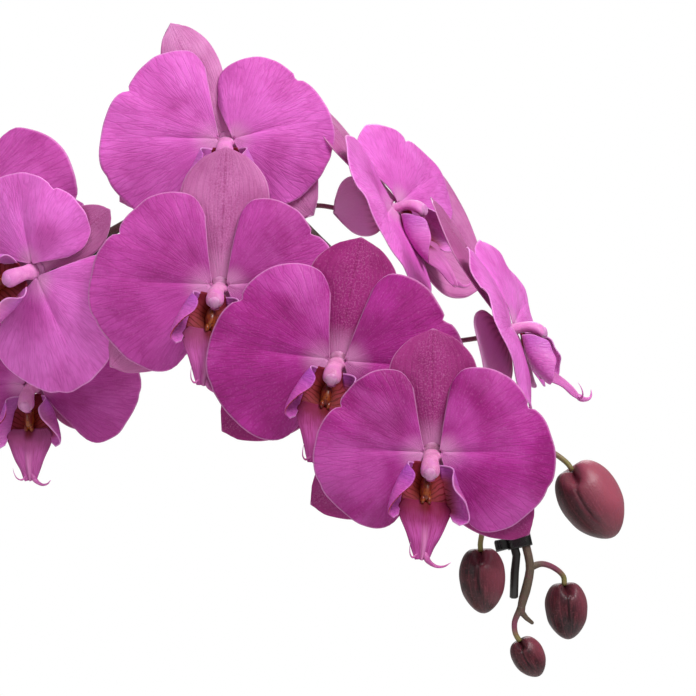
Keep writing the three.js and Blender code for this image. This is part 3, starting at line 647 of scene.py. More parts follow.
def callus_finish(settings):
    finish = Finish("lip_callus", 0.34, Subsurface_Weight=0.1, Subsurface_Scale=0.001)
    cloud = finish.noise(320, 3, 0.6)
    finish.base = finish.mix(cloud.spread(0.40, 0.60), "8C4416", "6E1C0E")
    finish.over(finish.cells(900).spread(0.42, 0.25), settings.lip_throat)
    return finish.close(cloud, 0.4, 0.0005)


def column_finish(name, low, high):
    finish = Finish(name, 0.36, **COLUMN_TISSUE)
    cloud = finish.noise(260, 3, 0.55)
    grain = finish.noise(1400)
    run = finish.tone("run")
    finish.base = finish.mix(cloud.spread(0.35, 0.65), low, high)
    finish.over(grain.spread(0.5, 0.85, 0, 0.3), "F4D5EA")
    # a purple blush on the hood and a pale rim round its end
    finish.over(cloud.spread(0.42, 0.6) * run.spread(0.5, 0.7) * 0.5, "B44CA0")
    finish.over(run.spread(0.86, 0.97, 0, 0.7), "E2B4D0")
    lighten_lip(finish)
    return finish.close(grain, 0.2, 0.0004)


def stem_finish(name, settings, lengthwise):
    """Waxy stalk; its run attribute leads from the stem's brown to green and back to purple."""
    finish = Finish(name, 0.42, Specular_IOR_Level=0.4, Subsurface_Weight=0.08, Subsurface_Scale=0.001)
    run = finish.tone("run")
    streak = finish.noise(160, 4, 0.6, 0.4)
    dots = finish.cells(1500)
    if lengthwise:
        finish.base = finish.mix(run.spread(0.12, 0.42), settings.stem_green, settings.stem)
    else:
        finish.base = finish.mix(run.spread(0.1, 0.5), settings.stem, PLUM)
        finish.over(run.spread(0.55, 0.95) * finish.tone(), settings.stem_green)
    finish.over(streak.spread(0.45, 0.7, 0, 0.35), PLUM)
    finish.over(dots.spread(0.3, 0.12, 0, 0.35), "A39A72")
    return finish.close(streak + dots * 0.4, 0.25, 0.0006)


def bud_finish(settings):
    finish = Finish("bud_skin", 0.4, Specular_IOR_Level=0.32, Subsurface_Weight=0.1, Subsurface_Scale=0.0015)
    u, v = finish.uv()
    lines = finish.noise(1.0, 3, 0.6, at=(u * 60, v * 4))
    grain = finish.noise(1100, 2, 0.6)
    finish.base = finish.mix(finish.noise(95, 4, 0.6).spread(0.36, 0.66), settings.bud, "1E070D")
    finish.over(lines.spread(0.42, 0.7, 0, 0.4), "74303C")
    finish.over(grain.spread(0.52, 0.8, 0, 0.3), "9A5260")
    # painted shade in the seams between the sepals, which run marks
    finish.over(finish.tone("run") * 0.85, "1E080E")
    # painted light: pinker where the tone is high, on the lit side of each bud
    finish.over(finish.tone().spread(0.15, 1.0, 0, 0.8, "LINEAR"), "A24C60")
    return finish.close(grain + lines, 0.25, 0.0006)


def leaf_finish(settings, under=False):
    finish = Finish("leaf_under" if under else "leaf_top", 0.33, Specular_IOR_Level=0.5, Coat_Weight=0.12,
                    Coat_Roughness=0.25, Subsurface_Weight=0.06, Subsurface_Scale=0.002)
    u, v = finish.uv()
    lines = finish.noise(1.0, at=(u * 2.5, v * 70))
    cloud = finish.noise(22, 4, 0.6)
    finish.base = finish.mix(cloud.spread(0.35, 0.68), settings.leaf, "4B7A34")
    finish.over(lines.spread(0.46, 0.7, 0, 0.4), "234A1E")
    finish.over(finish.noise(420, 2, 0.6).spread(0.55, 0.8, 0, 0.25), "6E9450")
    finish.over(abs(v - MIDRIB).spread(0.02, 0.006, 0, 0.55), "7C9A55")
    finish.over(u.spread(0.2, 0.02, 0, 0.5), "8AA05E")
    if under:
        finish.over(0.5, "7F8E5C")
        finish.over(cloud.spread(0.5, 0.7, 0, 0.4), "6E4A50")
    finish.gloss(cloud.spread(0.3, 0.7, 0.28, 0.42))
    return finish.close(lines + cloud * 0.8, 0.3, 0.001)


def root_finish(settings):
    finish = Finish("root_skin", 0.72)
    cloud = finish.noise(150, 4, 0.65)
    fleck = finish.noise(900, 3, 0.6)
    finish.base = finish.mix(cloud.spread(0.38, 0.66), settings.root, "7F8F63")
    finish.over(fleck.spread(0.5, 0.75, 0, 0.5), "D3D6C6")
    finish.over(finish.tone("run").spread(0.86, 0.97), "6F8F35")
    return finish.close(cloud + fleck, 0.4, 0.0008)


def bark_finish(name, settings, depth=0.0):
    finish = Finish(name, 0.86, Specular_IOR_Level=0.25)
    flat = finish.field("ShaderNodeMapping", {"Vector": finish.where(), "Scale": (160.0, 160.0, 900.0)})
    fibre = finish.noise(1.0, 5, 0.65, 0.6, flat)
    finish.base = finish.mix(fibre.spread(0.36, 0.66), settings.bark, "3A241A")
    finish.over(finish.noise(85, 3, 0.6).spread(0.5, 0.75, 0, 0.5), "9B7452")
    finish.over(finish.tone().spread(0.0, 1.0, 0, 0.5, "LINEAR"), "B08A63")
    # painted shade: depth darkens the bed, which lies in the shadow between the chips
    finish.over(depth, "1E120D")
    return finish.close(fibre, 0.7, 0.0012)


def glaze_finish(settings):
    finish = Finish("pot_glaze", 0.16, Coat_Weight=0.6, Coat_Roughness=0.06)
    cloud = finish.noise(16, 4, 0.55)
    finish.base = finish.mix(cloud.spread(0.35, 0.7), settings.glaze, "DDD6C8")
    finish.over(finish.cells(330).spread(0.13, 0.07, 0, 0.35), "A89880")
    finish.gloss(cloud.spread(0.3, 0.7, 0.12, 0.24))
    return finish.close(cloud, 0.12, 0.002)


def clay_finish():
    """Unglazed foot of the pot."""
    finish = Finish("pot_clay", 0.85)
    grit = finish.noise(700, 4, 0.7)
    finish.base = finish.mix(grit.spread(0.4, 0.65), "C9B9A2", "A8947A")
    return finish.close(grit, 0.4, 0.0008)


def plastic_finish(name, dark, light, roughness):
    """Black moulded plastic with a faint grain and worn, greyer patches."""
    finish = Finish(name, roughness, Specular_IOR_Level=0.5)
    scuff = finish.noise(120, 5, 0.7)
    finish.base = finish.mix(scuff.spread(0.45, 0.75), dark, light)
    finish.gloss(scuff.spread(0.3, 0.7, roughness - 0.08, roughness + 0.1))
    return finish.close(finish.noise(1600), 0.2, 0.0004)


def floor_finish():
    """Pale floor whose rim fades to the white of the background."""
    finish = Finish("floor_pale", 0.7)
    x, y = finish.parts(finish.where())
    away = (x.math("POWER", 2) + y.math("POWER", 2)).math("SQRT")
    grain = finish.noise(60, 3).spread(0.3, 0.7, 0, 0.04)
    finish.feed(finish.shader.inputs["Base Color"], finish.mix(grain, (0.86, 0.86, 0.86), (0.8, 0.8, 0.8)))
    white = finish.field("ShaderNodeEmission", {"Color": WHITE, "Strength": 1.0})
    fading = finish.field("ShaderNodeMixShader", {
        0: away.spread(0.45, 1.1), 1: Field(finish, finish.shader.outputs[0]), 2: white})
    finish.feed(finish.tree.nodes["Material Output"].inputs["Surface"], fading)
    return finish.material


# Blooms: petals and sepals in the bloom's own frame, +X right, +Y up, +Z the way it faces
PETAL_REACH = [
    (-71, 25), (-68, 34), (-62, 40.6), (-50, 45.2), (-37, 47.8), (-25, 50.4), (-12, 52.2), (0, 51.6),
    (10, 50.4), (20, 48.4), (28, 46), (37, 46), (47, 45.6), (56, 44.2), (65, 41.6), (75, 37.6),
    (83, 32.6), (89, 24),
]
PETAL_LOW, PETAL_HIGH = -71, 89
PETAL_CLAW = 3.4
DORSAL_WIDTH = [
    (0, 0.32), (0.12, 0.4), (0.3, 0.72), (0.5, 0.96), (0.64, 1), (0.78, 0.9), (0.9, 0.64), (0.97, 0.36),
    (1, 0.06)]
LATERAL_WIDTH = [
    (0, 0.18), (0.12, 0.38), (0.3, 0.84), (0.45, 1), (0.6, 0.98), (0.76, 0.8), (0.9, 0.5), (0.97, 0.28),
    (1, 0.05)]
DORSAL_SIZE = (55, 37)
LATERAL_SIZE = (56, 37)
LATERAL_ANGLE, LATERAL_LEAN = 119, 3
LATERAL_FOOT = (1.7, -1.5)


def petal(scale, turn=0, cup=0, size=1, low=PETAL_LOW, high=PETAL_HIGH, notch=27, gape=7, bowl=(0, 0),
          phase=0.0, seed=0.0):
    """Surface of the right petal: u from its claw to its margin, v from its lower to its upper side.

    scale is the bloom's size, low and high the directions of its two sides in degrees and notch the one
    of its dent. gape is how far its upper side stands back from the dorsal sepal, cup how far it bends
    forward beside the column and bowl how far its lower and its upper margin rise, all in degrees."""
    turned, cupped = math.radians(turn), math.radians(cup)

    def surface(u, v):
        part = v * (1 - gape / (PETAL_HIGH - PETAL_LOW))
        deg = PETAL_LOW + (PETAL_HIGH - PETAL_LOW) * part
        angle = math.radians(low + (high - low) * part)
        uu = 0.02 + 0.98 * u
        dent = 1 - uu ** 6 * (0.045 * bump(deg, notch, 1.7) + 0.012 * bump(deg, -18, 2.6))
        ragged = 1 + 0.012 * uu ** 4 * noise.noise(Vector((deg * 0.11, seed, phase)))
        corner = 1 - 0.16 * clamp((deg - (PETAL_HIGH - gape - 8)) / 8) ** 2
        r = along(PETAL_REACH, deg) * uu * (scale * size) * dent * ragged * corner
        x, y = r * math.cos(angle), r * math.sin(angle)
        edge = clamp((abs(deg - 5) - 20) / 72)
        # swelling of the blade, its crease, the waves of its margin and its uneven face
        z = 2.6 * hump(uu ** 0.9) * (1 - 0.5 * edge)
        z -= 1.3 * bump(deg, 2, 9) * hump(uu) * (1 - uu * 0.6)
        z -= 0.55 * bump(deg, 1, 2.2) * hump(clamp(uu * 1.35)) ** 2
        z += 1.1 * uu ** 3 * math.sin(math.radians(deg * 3.4) + phase)
        z += 0.8 * uu ** 7 * math.sin(math.radians(deg * 11.0) + phase * 3)
        z += 1.7 * uu ** 1.5 * noise.noise(Vector((x * 0.05, y * 0.05, seed + 3.3)))
        z += 0.35 * uu * noise.noise(Vector((deg * 0.16, uu * 1.5, seed + 9.1)))
        z -= 0.9 * bump(deg, notch, 5) * uu ** 4
        z -= 3.8 * uu ** 2.6 * (0.35 + (0.3 if deg > 5 else 0.7) * edge)
        z += 0.1
        # turned about the column, bowled and then bent forward along a line beside the column
        xr, yr = rotated(x, y, turned)
        rise = max(0.0, r - 12)
        bowled = math.radians(bowl[0] + (bowl[1] - bowl[0]) * (0.5 + 0.5 * math.sin(angle)))
        shrink = 1 - (1 - math.cos(bowled)) * rise / max(r, 1)
        reach = max(0.0, xr * shrink - 9)
        xx = xr * shrink - reach * (1 - math.cos(cupped))
        if reach > 0:
            xx -= z * math.sin(cupped) * min(1, reach / 8)
        return Vector((PETAL_CLAW + xx, yr * shrink,
                       z + reach * math.sin(cupped) + rise * math.sin(bowled) + 0.35))

    return surface


def sepal(profile, natural, scale, size=1, wide=1, turn=0, lean=0, roll=0, fall=2.8, depth=-1.75,
          skew=0, start=1.5, seed=0.0):
    """Surface of a sepal that points along +Y before it is turned: u along it, v across.

    natural is its length and width, scale the bloom's size, and size and wide this sepal's own. fall is
    how far its tip bends back, depth how far behind the column its foot lies and skew how far it bows
    to one side."""
    length, width = natural[0] * scale * size, natural[1] * scale * wide
    turned, leaned, rolled = math.radians(turn), math.radians(lean), math.radians(roll)

    def surface(u, v):
        s = 1 - 2 * v
        w = along(profile, u) * width * 0.5
        x = s * w + skew * hump(u) * width * 0.1
        y = start + (length - start) * u * (1 - 0.03 * s * s * u)
        z = -1.6 * s * s * hump(clamp(u * 1.05)) - fall * u * u
        z += 1.4 * bump(s, 0, 0.16) * u * (1 - u)
        z += 0.6 * abs(s) ** 3 * u * math.sin(9 * u + seed)
        z += 1.1 * u * noise.noise(Vector((x, y, seed * 9)) * 0.06)
        x, z = rotated(x, z, rolled * clamp(u * 4))
        y, z = rotated(y, z, -leaned)
        return Vector((*rotated(x, y, turned), z + depth))

    return surface


def mirrored(surface):
    def other(u, v):
        p = surface(u, 1 - v)
        return Vector((-p.x, p.y, p.z))
    return other


def backwards(surface):
    """The same surface with its other side taken as the face."""
    return lambda u, v: surface(u, 1 - v)


def shifted(surface, x, y):
    return lambda u, v: surface(u, v) + Vector((x, y, 0))


# Each bloom's centre, facing and up directions, size, tones of petals and sepals (0 deep, 1 light), and
# what sets its lip and each of its petals and sepals apart. The tones are partly the blooms' own colour
# and partly painted light and shade: blooms that stand in more light are given lighter tones.
BLOOMS = [
    dict(at=(255.9, -84, 484.1), face=(-0.13, -0.99, -0.03), up=(0, 0, 1), size=1.01,
         tone=0.04, sepal_tone=0.06, lip_yaw=9, lip_twist=-24,
         left=dict(turn=1, size=0.968, gape=10), right=dict(gape=8), dorsal=dict(wide=1.08),
         lateral_left=dict(turn=-6, size=1.06, wide=1.1),
         lateral_right=dict(turn=12, size=0.98, wide=1.08)),
    dict(at=(212.9, -45, 525.4), face=(-0.15, -0.99, 0), up=(0.11, 0, 0.99), size=1.03,
         tone=0.06, sepal_tone=0.02, lip_yaw=8, lip_twist=-22,
         left=dict(size=1.1, gape=5), right=dict(size=1.09, turn=1, gape=15),
         dorsal=dict(size=1.03, wide=1.12, turn=-4),
         lateral_left=dict(turn=8, size=1.1, wide=1.16), lateral_right=dict(turn=6)),
    dict(at=(156.6, -12, 561.1), face=(-0.14, -0.99, 0.02), up=(0.03, 0, 1), size=1.04,
         tone=0.3, sepal_tone=0.4, lip_yaw=8, lip_twist=-22,
         left=dict(size=1.12, gape=7), right=dict(size=1.03, turn=5, gape=12),
         dorsal=dict(size=1.17, wide=1.14), lateral_left=dict(turn=8, size=1.12, wide=1.1)),
    dict(at=(158.2, 25, 633.6), face=(-0.05, -1, 0.02), up=(0, 0, 1), size=1.06,
         tone=0.84, sepal_tone=0.7,
         left=dict(size=1.08, turn=3, gape=13, low=-76),
         right=dict(size=0.9, turn=6, high=104, notch=28, gape=-4),
         dorsal=dict(size=1.11, wide=0.7, turn=26), lateral_right=dict(turn=12, size=0.92)),
    dict(at=(241.2, 44, 602.2), face=(0.771, -0.5, 0.39), up=(-0.45, 0, 0.89), size=1.03,
         tone=1.0, sepal_tone=0.24, lateral_painted_light_tone=0.45, lip_pitch=16, jut=12, lip_wide=0.82,
         left=dict(cup=11, bowl=(11, 13), low=-90, high=82, size=1.13, gape=0),
         right=dict(cup=3, high=106, gape=-4),
         dorsal=dict(lean=6, size=1.24, roll=-15, wide=1.2, turn=5, depth=-1.2),
         lateral_left=dict(turn=-50, lean=18, size=0.58, wide=0.85, from_behind=True),
         lateral_right=dict(turn=15, size=1.22, wide=2.1, lean=-8)),
    dict(at=(295.8, -15, 541.6), face=(0.9, -0.208, 0.37), up=(-0.42, 0, 0.9), size=1.03,
         tone=1.0, sepal_tone=0.24, lateral_painted_light_tone=0.8,
         lip=0.95, lip_pitch=18, jut=34, lip_wide=0.66, hook=1.6,
         left=dict(cup=4, size=1.1, gape=-4), right=dict(cup=4, turn=10, size=1.04, high=90, gape=0),
         dorsal=dict(lean=4, size=1.27, roll=1), lateral_left=dict(turn=-12, lean=4, from_behind=True)),
    dict(at=(64.9, 20, 569.1), face=(-0.42, -0.9, -0.1), up=(0.9, 0, 0.36), size=1.06,
         tone=1.0, sepal_tone=0.4,
         left=dict(turn=12, size=0.82, high=93, gape=2), right=dict(size=1.06, turn=4),
         dorsal=dict(turn=14, size=0.84, wide=0.6),
         lateral_left=dict(size=0.9), lateral_right=dict(turn=10, size=0.82)),
    dict(at=(59.3, 56, 513), face=(-0.24, -0.95, -0.2), up=(-0.05, 0, 1), size=0.98,
         tone=0.45, sepal_tone=0.3,
         left=dict(turn=8, size=0.92, high=80), right=dict(turn=13, size=1.05, high=76),
         dorsal=dict(size=0.85),
         lateral_left=dict(turn=-20), lateral_right=dict(turn=-8, size=0.82, wide=1.1)),
    dict(at=(15.5, 92, 601), face=(-0.25, -0.96, -0.1), up=(0, -0.1, 1), size=1.12,
         tone=0.58, sepal_tone=0.5, right=dict(turn=-20, size=1.27), lateral_right=dict(turn=20)),
]


def bloom_place(bloom, scale=1.0):
    """Matrix from a bloom's own frame to the plant's, with lengths times scale."""
    z = Vector(bloom["face"]).normalized()
    up = Vector(bloom["up"])
    y = (up - z * up.dot(z)).normalized()
    x = y.cross(z)
    turn = Matrix((x, y, z)).transposed().to_4x4()
    return Matrix.Translation(Vector(bloom["at"]) * scale) @ turn


# Boss that the petals grow from: (radius, height) from behind to front
RECEPTACLE = [
    (0, -6), (1.7, -6), (2.2, -5.2), (3.2, -4.0), (4.2, -3.0), (4.3, -2.2), (3.4, -1.6), (0, -1.5)]


def make_tepals(number, bloom, materials, thickness):
    size, tone = bloom["size"], bloom["tone"]
    place = bloom_place(bloom, MM)
    petal_slot, sepal_slot, boss = 0, 2, 4
    nodes = [f"bloom_{number}_tepals"]
    bm = start_mesh()

    def own(key, **usual):
        """What sets one tepal of this bloom apart, on top of what is usual."""
        return {**usual, **bloom.get(key, {})}

    right = petal(size, phase=0.4, seed=number * 1.7, **own("right"))
    left = petal(size, phase=1.3, seed=number * 1.7 + 40, **own("left"))
    for surface in (right, mirrored(left)):
        sheet(bm, surface, *GRID["petal"], place, petal_slot, tone)
    dorsal = sepal(DORSAL_WIDTH, DORSAL_SIZE, size, seed=number, **own("dorsal", fall=4.6, depth=-2.7))
    sheet(bm, dorsal, *GRID["sepal"], place, sepal_slot, bloom["sepal_tone"])
    for side, key in ((1, "lateral_right"), (-1, "lateral_left")):
        options = own(key, turn=0, lean=0, from_behind=False)
        from_behind = options.pop("from_behind")
        options["turn"] = -(LATERAL_ANGLE + options["turn"])
        options["lean"] += LATERAL_LEAN
        surface = sepal(LATERAL_WIDTH, LATERAL_SIZE, size, skew=-1, start=0.5, seed=number + side * 0.3,
                        **options)
        if side < 0:
            surface = mirrored(surface)
        if from_behind:
            surface = backwards(surface)
        x, y = LATERAL_FOOT
        # lateral sepals may take a lighter tone of their own: painted light that lifts them out of the shade
        # of the petals
        sheet(bm, shifted(surface, x * side, y), *GRID["sepal"], place, sepal_slot,
              bloom.get("lateral_painted_light_tone", bloom["sepal_tone"]))
    finish_piece(f"bloom_{number}_petals", bm, materials, nodes, thickness, backs=1)
    # the little receptacle behind the petals is a piece of its own, with no wall to thicken
    bm = start_mesh()
    spin_profile(bm, RECEPTACLE, SIDES["receptacle"], place, tone=tone)
    finish_piece(f"bloom_{number}_receptacle", bm, [materials[boss]], nodes)


# Lip in the bloom's frame, all in mm
LIP_FOOT = Vector((0, -4.3, 1.7))
LIP_HEART = Vector((0, 0, 9))
LOBE_HINGE = Vector((0, -23, 11.4))


def about(point, turn):
    """A turn about a point given in mm."""
    return Matrix.Translation(point * MM) @ turn @ Matrix.Translation(-point * MM)


def lip_matrix(bloom):
    """Scale, pitch, yaw and twist of a lip about its foot."""
    k = bloom["size"] * bloom.get("lip", 1)
    twist = Matrix.Rotation(-math.radians(bloom.get("lip_twist", 0)), 4, "Y")
    turn = (Matrix.Rotation(-math.radians(bloom.get("lip_yaw", 0)), 4, "Z")
            @ Matrix.Rotation(math.radians(bloom.get("lip_pitch", 0)), 4, "X")
            @ Matrix.Diagonal((k * bloom.get("lip_wide", 1), k, k, 1)))
    return about(LIP_FOOT, turn) @ about(LIP_HEART, twist)


# The middle lobe's spine and half width, the trough's, and the ears' foot, bulge and free margin
LIP_MIDDLE = Route([(0, -21.5, 10.4), (0, -27, 14.2), (0, -33, 16.4), (0, -40, 17.7), (0, -46.6, 17.6)])
MIDDLE_WIDTH = [
    (0, 9.5), (0.1, 11.8), (0.22, 12.4), (0.4, 11), (0.6, 8.3), (0.82, 5.4), (0.94, 4.0), (1, 3.0)]
LIP_FLOOR = Route([(0, -4.6, 3.0), (0, -9, 3.3), (0, -15, 5.2), (0, -21, 8.4), (0, -26, 12.2)])
FLOOR_WIDTH = [(0, 5.6), (0.12, 7.1), (0.24, 8.3), (0.45, 9.6), (0.72, 10.8), (1, 11.8)]
EAR_BACK = Route([
    (5.8, -5.2, 4.0), (7.3, -9.5, 4.5), (8.9, -14.2, 5.2), (10.2, -20, 7.6), (11.6, -25.4, 11.4),
    (12.8, -28.4, 14.6)])
EAR_BULGE = Route([
    (9.8, -5.0, 8.8), (12.2, -9.0, 9.8), (14.8, -14.6, 11.0), (16.8, -20.4, 12.8), (17.2, -25.6, 14.8),
    (14.4, -29.2, 15.8)])
EAR_FRONT = Route([
    (10.4, -6.4, 12.6), (8.6, -9.2, 16.8), (10.2, -13.4, 18.8), (14.4, -18.4, 20.0), (18.4, -23.6, 19.6),
    (18.6, -27.4, 18.4), (15.2, -29.6, 16.8)])
TENDRIL_THICK = [(0, 0.7), (0.14, 1.35), (0.4, 0.9), (0.8, 0.4), (1, 0.15)]


def lip_middle(u, v):
    s = 2 * v - 1
    p = LIP_MIDDLE.point(u)
    w = along(MIDDLE_WIDTH, u)
    lift = -3.0 * s * s * hump(clamp(u * 0.9 + 0.1))
    lift += 1.2 * bump(s, 0, 0.14) * (1 - 0.6 * u)
    lift += 0.6 * abs(s) ** 3 * math.sin(13 * u) - 0.5 * bump(abs(s), 0.3, 0.16)
    return Vector((s * w, p.y - 0.3 * lift, p.z + lift))


def lip_floor(u, v):
    """Shallow trough that carries the lobes."""
    s = 2 * v - 1
    p = LIP_FLOOR.point(u)
    return Vector((s * along(FLOOR_WIDTH, u), p.y - 0.8 * s * s * u, p.z + 1.4 * s * s * (1 - u)))


def lip_ear(u, v):
    """Upright ear beside the column: u from its top to its lower end, v from its foot to its free margin."""
    back, bulge, front = EAR_BACK.point(u), EAR_BULGE.point(u), EAR_FRONT.point(u)
    ruffle = 0.5 * v ** 3 * math.sin(15 * u) * hump(u)
    return (back * ((1 - v) * (1 - 2 * v)) + bulge * (4 * v * (1 - v)) + front * (v * (2 * v - 1))
            + Vector((ruffle, 0, ruffle)))


def tendrils(hook):
    """Each tendril's route and thickness; hook is how far the pair curls."""
    right = [(1.0, -43.2, 17.3), (3.0, -46.6, 17.6 + 0.3 * hook), (6.4, -48.4, 18 + 1.3 * hook),
             (9.8, -48.0, 18 + 2.4 * hook), (12.4, -45.8, 18 + 3.4 * hook)]
    left = [(-2.0, -43.8, 17.3), (-4.2, -45.8, 17.7 + 0.6 * hook), (-6.2, -44.6, 18 + 1.8 * hook),
            (-7.2, -41.6, 18 + 2.6 * hook), (-7.4, -38.8, 18 + 2.8 * hook)]
    return (Route(right), 0.8 + 0.25 * hook, 12), (Route(left), 0.2 + 0.2 * hook, 10)


def make_lip(number, bloom, materials, thickness):
    place = bloom_place(bloom, MM) @ lip_matrix(bloom)
    jut = place @ about(LOBE_HINGE, Matrix.Rotation(-math.radians(bloom.get("jut", 0)), 4, "X"))
    middle, throat, ear_inner, callus, hair = 0, 1, 2, 4, 5
    tone = bloom["tone"]
    nodes = [f"bloom_{number}_lip"]
    bm = start_mesh()
    sheet(bm, lip_middle, *GRID["lobe"], jut, middle, tone)
    sheet(bm, lip_floor, *GRID["trough"], place, throat, tone)
    finish_piece(f"bloom_{number}_lip_lobe", bm, materials, nodes, thickness)
    bm = start_mesh()
    for surface in (lip_ear, mirrored(lip_ear)):
        sheet(bm, surface, *GRID["ear"], place, ear_inner, tone)
    finish_piece(f"bloom_{number}_lip_ears", bm, materials, nodes, thickness, backs=1)
    bm = start_mesh()
    for route, thick, sides in tendrils(bloom.get("hook", 1)):
        stations = round_stations(route, 30, lambda t: along(TENDRIL_THICK, t) * thick)
        loft(bm, stations, sides, jut, hair, tone)
    lean = Matrix.Rotation(math.radians(-24), 3, "X")
    blob(bm, (0, -16.2, 8.6), (2.5, 5.6, 3.4), lean, place, callus, 12)
    for side in (1, -1):
        blob(bm, (1.5 * side, -20.6, 11.0), (1.1, 2.0, 1.5), lean, place, callus, 8)
    finish_piece(f"bloom_{number}_lip_callus", bm, materials, nodes)


COLUMN_PATH = Route([
    (0, -1.9, -2.2), (0, -2.2, 0.9), (0, -2.6, 4.5), (0.1, -3.9, 8.2), (0.3, -6.2, 10.9),
    (0.4, -8.9, 12.2), (0.4, -11.3, 11.8)])
COLUMN_ACROSS = [
    (0, 4.6), (0.12, 4.3), (0.3, 3.7), (0.45, 3.6), (0.66, 4.1), (0.8, 4.4), (0.9, 4.0), (0.965, 2.8),
    (1, 1.3)]
COLUMN_DEPTH = [
    (0, 3.4), (0.12, 3.0), (0.3, 2.5), (0.45, 2.5), (0.66, 2.8), (0.8, 2.7), (0.9, 2.4), (0.965, 1.6),
    (1, 0.8)]
COLUMN_STEPS = 34


def make_column(number, bloom, materials):
    place = bloom_place(bloom, MM)
    tone = bloom["tone"]
    skin, cap, shaded_hollow = range(3)
    across = Vector((1, 0, 0))
    stations = []
    for i in range(COLUMN_STEPS + 1):
        # steps grow shorter towards the rounded tip
        t = 1 - (1 - i / COLUMN_STEPS) ** 1.5
        up = COLUMN_PATH.tangent(t).cross(across).normalized()
        radii = (along(COLUMN_ACROSS, t), along(COLUMN_DEPTH, t))
        stations.append((COLUMN_PATH.point(t), across, up, radii, t))
    bm = start_mesh()
    loft(bm, stations, SIDES["column"], place, skin, tone)
    tilt = Matrix.Rotation(math.radians(14), 3, "X")
    blob(bm, (0.4, -9.0, 13.4), (3.0, 2.9, 1.4), tilt, place, cap, 14, tone)
    # dark lump at the tip under the cap: painted shade of the hollow there
    blob(bm, (0.4, -11.5, 11.0), (2.2, 1.0, 1.5), tilt, place, shaded_hollow, 8)
    finish_piece(f"bloom_{number}_column_cap", bm, materials, [f"bloom_{number}_column"])


# Flower stem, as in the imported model
CROWN_RADIUS = 9
STEM = dict(foot=2.9, arch=2.4, tip=1.9, pedicel=1.25)
ROD = dict(radius=2.0, offset=5.3)
GAP = 0.35
SPIKE = Route([
    (0, CROWN_RADIUS + STEM["foot"] + 0.9, 122), (-0.5, 18, 139), (-4, 26, 168), (-11, 33, 215),
    (-19, 44, 300), (-19, 59, 400), (-9, 71, 480), (6, 78, 530), (33, 77, 561), (72, 70, 579),
    (93, 66, 587), (116, 60, 598.5), (139, 53, 605), (166, 47, 604.5), (189, 42, 597), (205, 34, 583),
    (220, 23, 567), (241, 8, 548),
    (257.5, -8, 530), (270.5, -22, 508.5), (283, -36, 484), (296.0, -46.5, 457), (300.0, -50.5, 441.1),
    (302.3, -51, 429.4), (300.9, -51, 421), (298.4, -51, 408.8), (303.4, -50, 403.6),
])
SPIKE_BEND = 0.94
SPIKE_STEPS = [SPIKE_BEND * i / 34 for i in range(34)]
SPIKE_STEPS += [SPIKE_BEND + (1 - SPIKE_BEND) * i / 9 for i in range(10)]
SPIKE_FINE = [i / 900 for i in range(901)]
STEM_STEPS = 260
SHEATHS = ((0.12, 17), (0.25, 15), (0.37, 13))
# Each stalk of a bloom: its start on the spike and the points between
PEDICELS = [
    ((283, -36, 484), [(273, -52, 488)]),
    ((243, 6, 546), [(234, -10, 539)]),
    ((166, 47, 604.5), [(162, 32, 592)]),
    ((139, 53, 605), [(146, 48, 617)]),
    ((185, 42, 598), [(203, 46, 602)]),
    ((255, -6, 533), [(268, -8, 534)]),
    ((66, 70, 577), [(68, 54, 576)]),
    ((12, 78, 540), [(12, 86, 534), (24, 86, 523), (44, 77, 516)]),
    ((3, 77, 522), [(7, 94, 526), (11, 112, 556)]),
]
# Each bud's base, tip and greatest radius, its stalk, its lightness and the turn of its main seam
BUDS = [
    dict(base=(322.8, -42, 473.4), tip=(342.2, -44, 443.2), radius=14.4, start=(284, -36, 480), tone=0.9,
         mids=[(298, -38, 486), (311, -41, 483.5)], turn=10),
    dict(base=(279.1, -60, 437.0), tip=(280.5, -61, 409.0), radius=10.6, start=(291, -46, 460), tone=0.56,
         mids=[(283.5, -56, 456)], turn=4),
    dict(base=(318.9, -42, 419.9), tip=(320.9, -43, 395.2), radius=9.9, start=(302.3, -51, 429.6), tone=0.32,
         mids=[(308, -48, 430.8), (314.6, -44, 428.2)], turn=-12),
    dict(base=(297.8, -50, 394.8), tip=(306.8, -50, 379), radius=7.6, start=(298.8, -51, 411), tone=0.28,
         mids=[(295.2, -50.5, 404)], turn=6),
]


def stem_radius(t):
    foot, arch, tip = STEM["foot"], STEM["arch"], STEM["tip"]
    return along([(0, foot), (0.45, arch), (0.85, tip + 0.25), (0.97, tip), (1, 0.7)], t)


def spike_start(p):
    """The spike's place nearest to p, as its share of the length and as a point."""
    t = SPIKE.nearest(p, SPIKE_FINE)
    return t, SPIKE.point(t)


def inside(t):
    """Across the stem towards the inner side of the arch."""
    return Vector((0, 1, 0)).cross(SPIKE.tangent(t)).normalized()


def beside_stem(t, offset, radius):
    n = inside(t)
    return (SPIKE.point(t) + n * offset, n, SPIKE.tangent(t).cross(n).normalized(), (radius, radius), t)


def bract(bm, root, axis, out, length, width):
    """Small pointed scale that stands against a joint of the stem."""
    side = axis.cross(out).normalized()

    def surface(u, v):
        s = 2 * v - 1
        w = width * (1 - u ** 2.2) * 0.5
        bow = math.cos(s * 1.1)
        return root + axis * (length * u) + side * (s * w) + out * ((bow - 0.4) * 1.1 + 0.9 * u)
    sheet(bm, surface, *GRID["bract"])


def add_stalk(bm, start, mids, axis, end, straight, count, radius, slot, tone):
    """Stalk from the spike to a bloom or bud, straight over its last stretch."""
    route = Route([spike_start(start)[1], *mids, end - axis * straight, end])
    loft(bm, round_stations(route, count, radius), SIDES["stalk"], slot=slot, tone=tone)


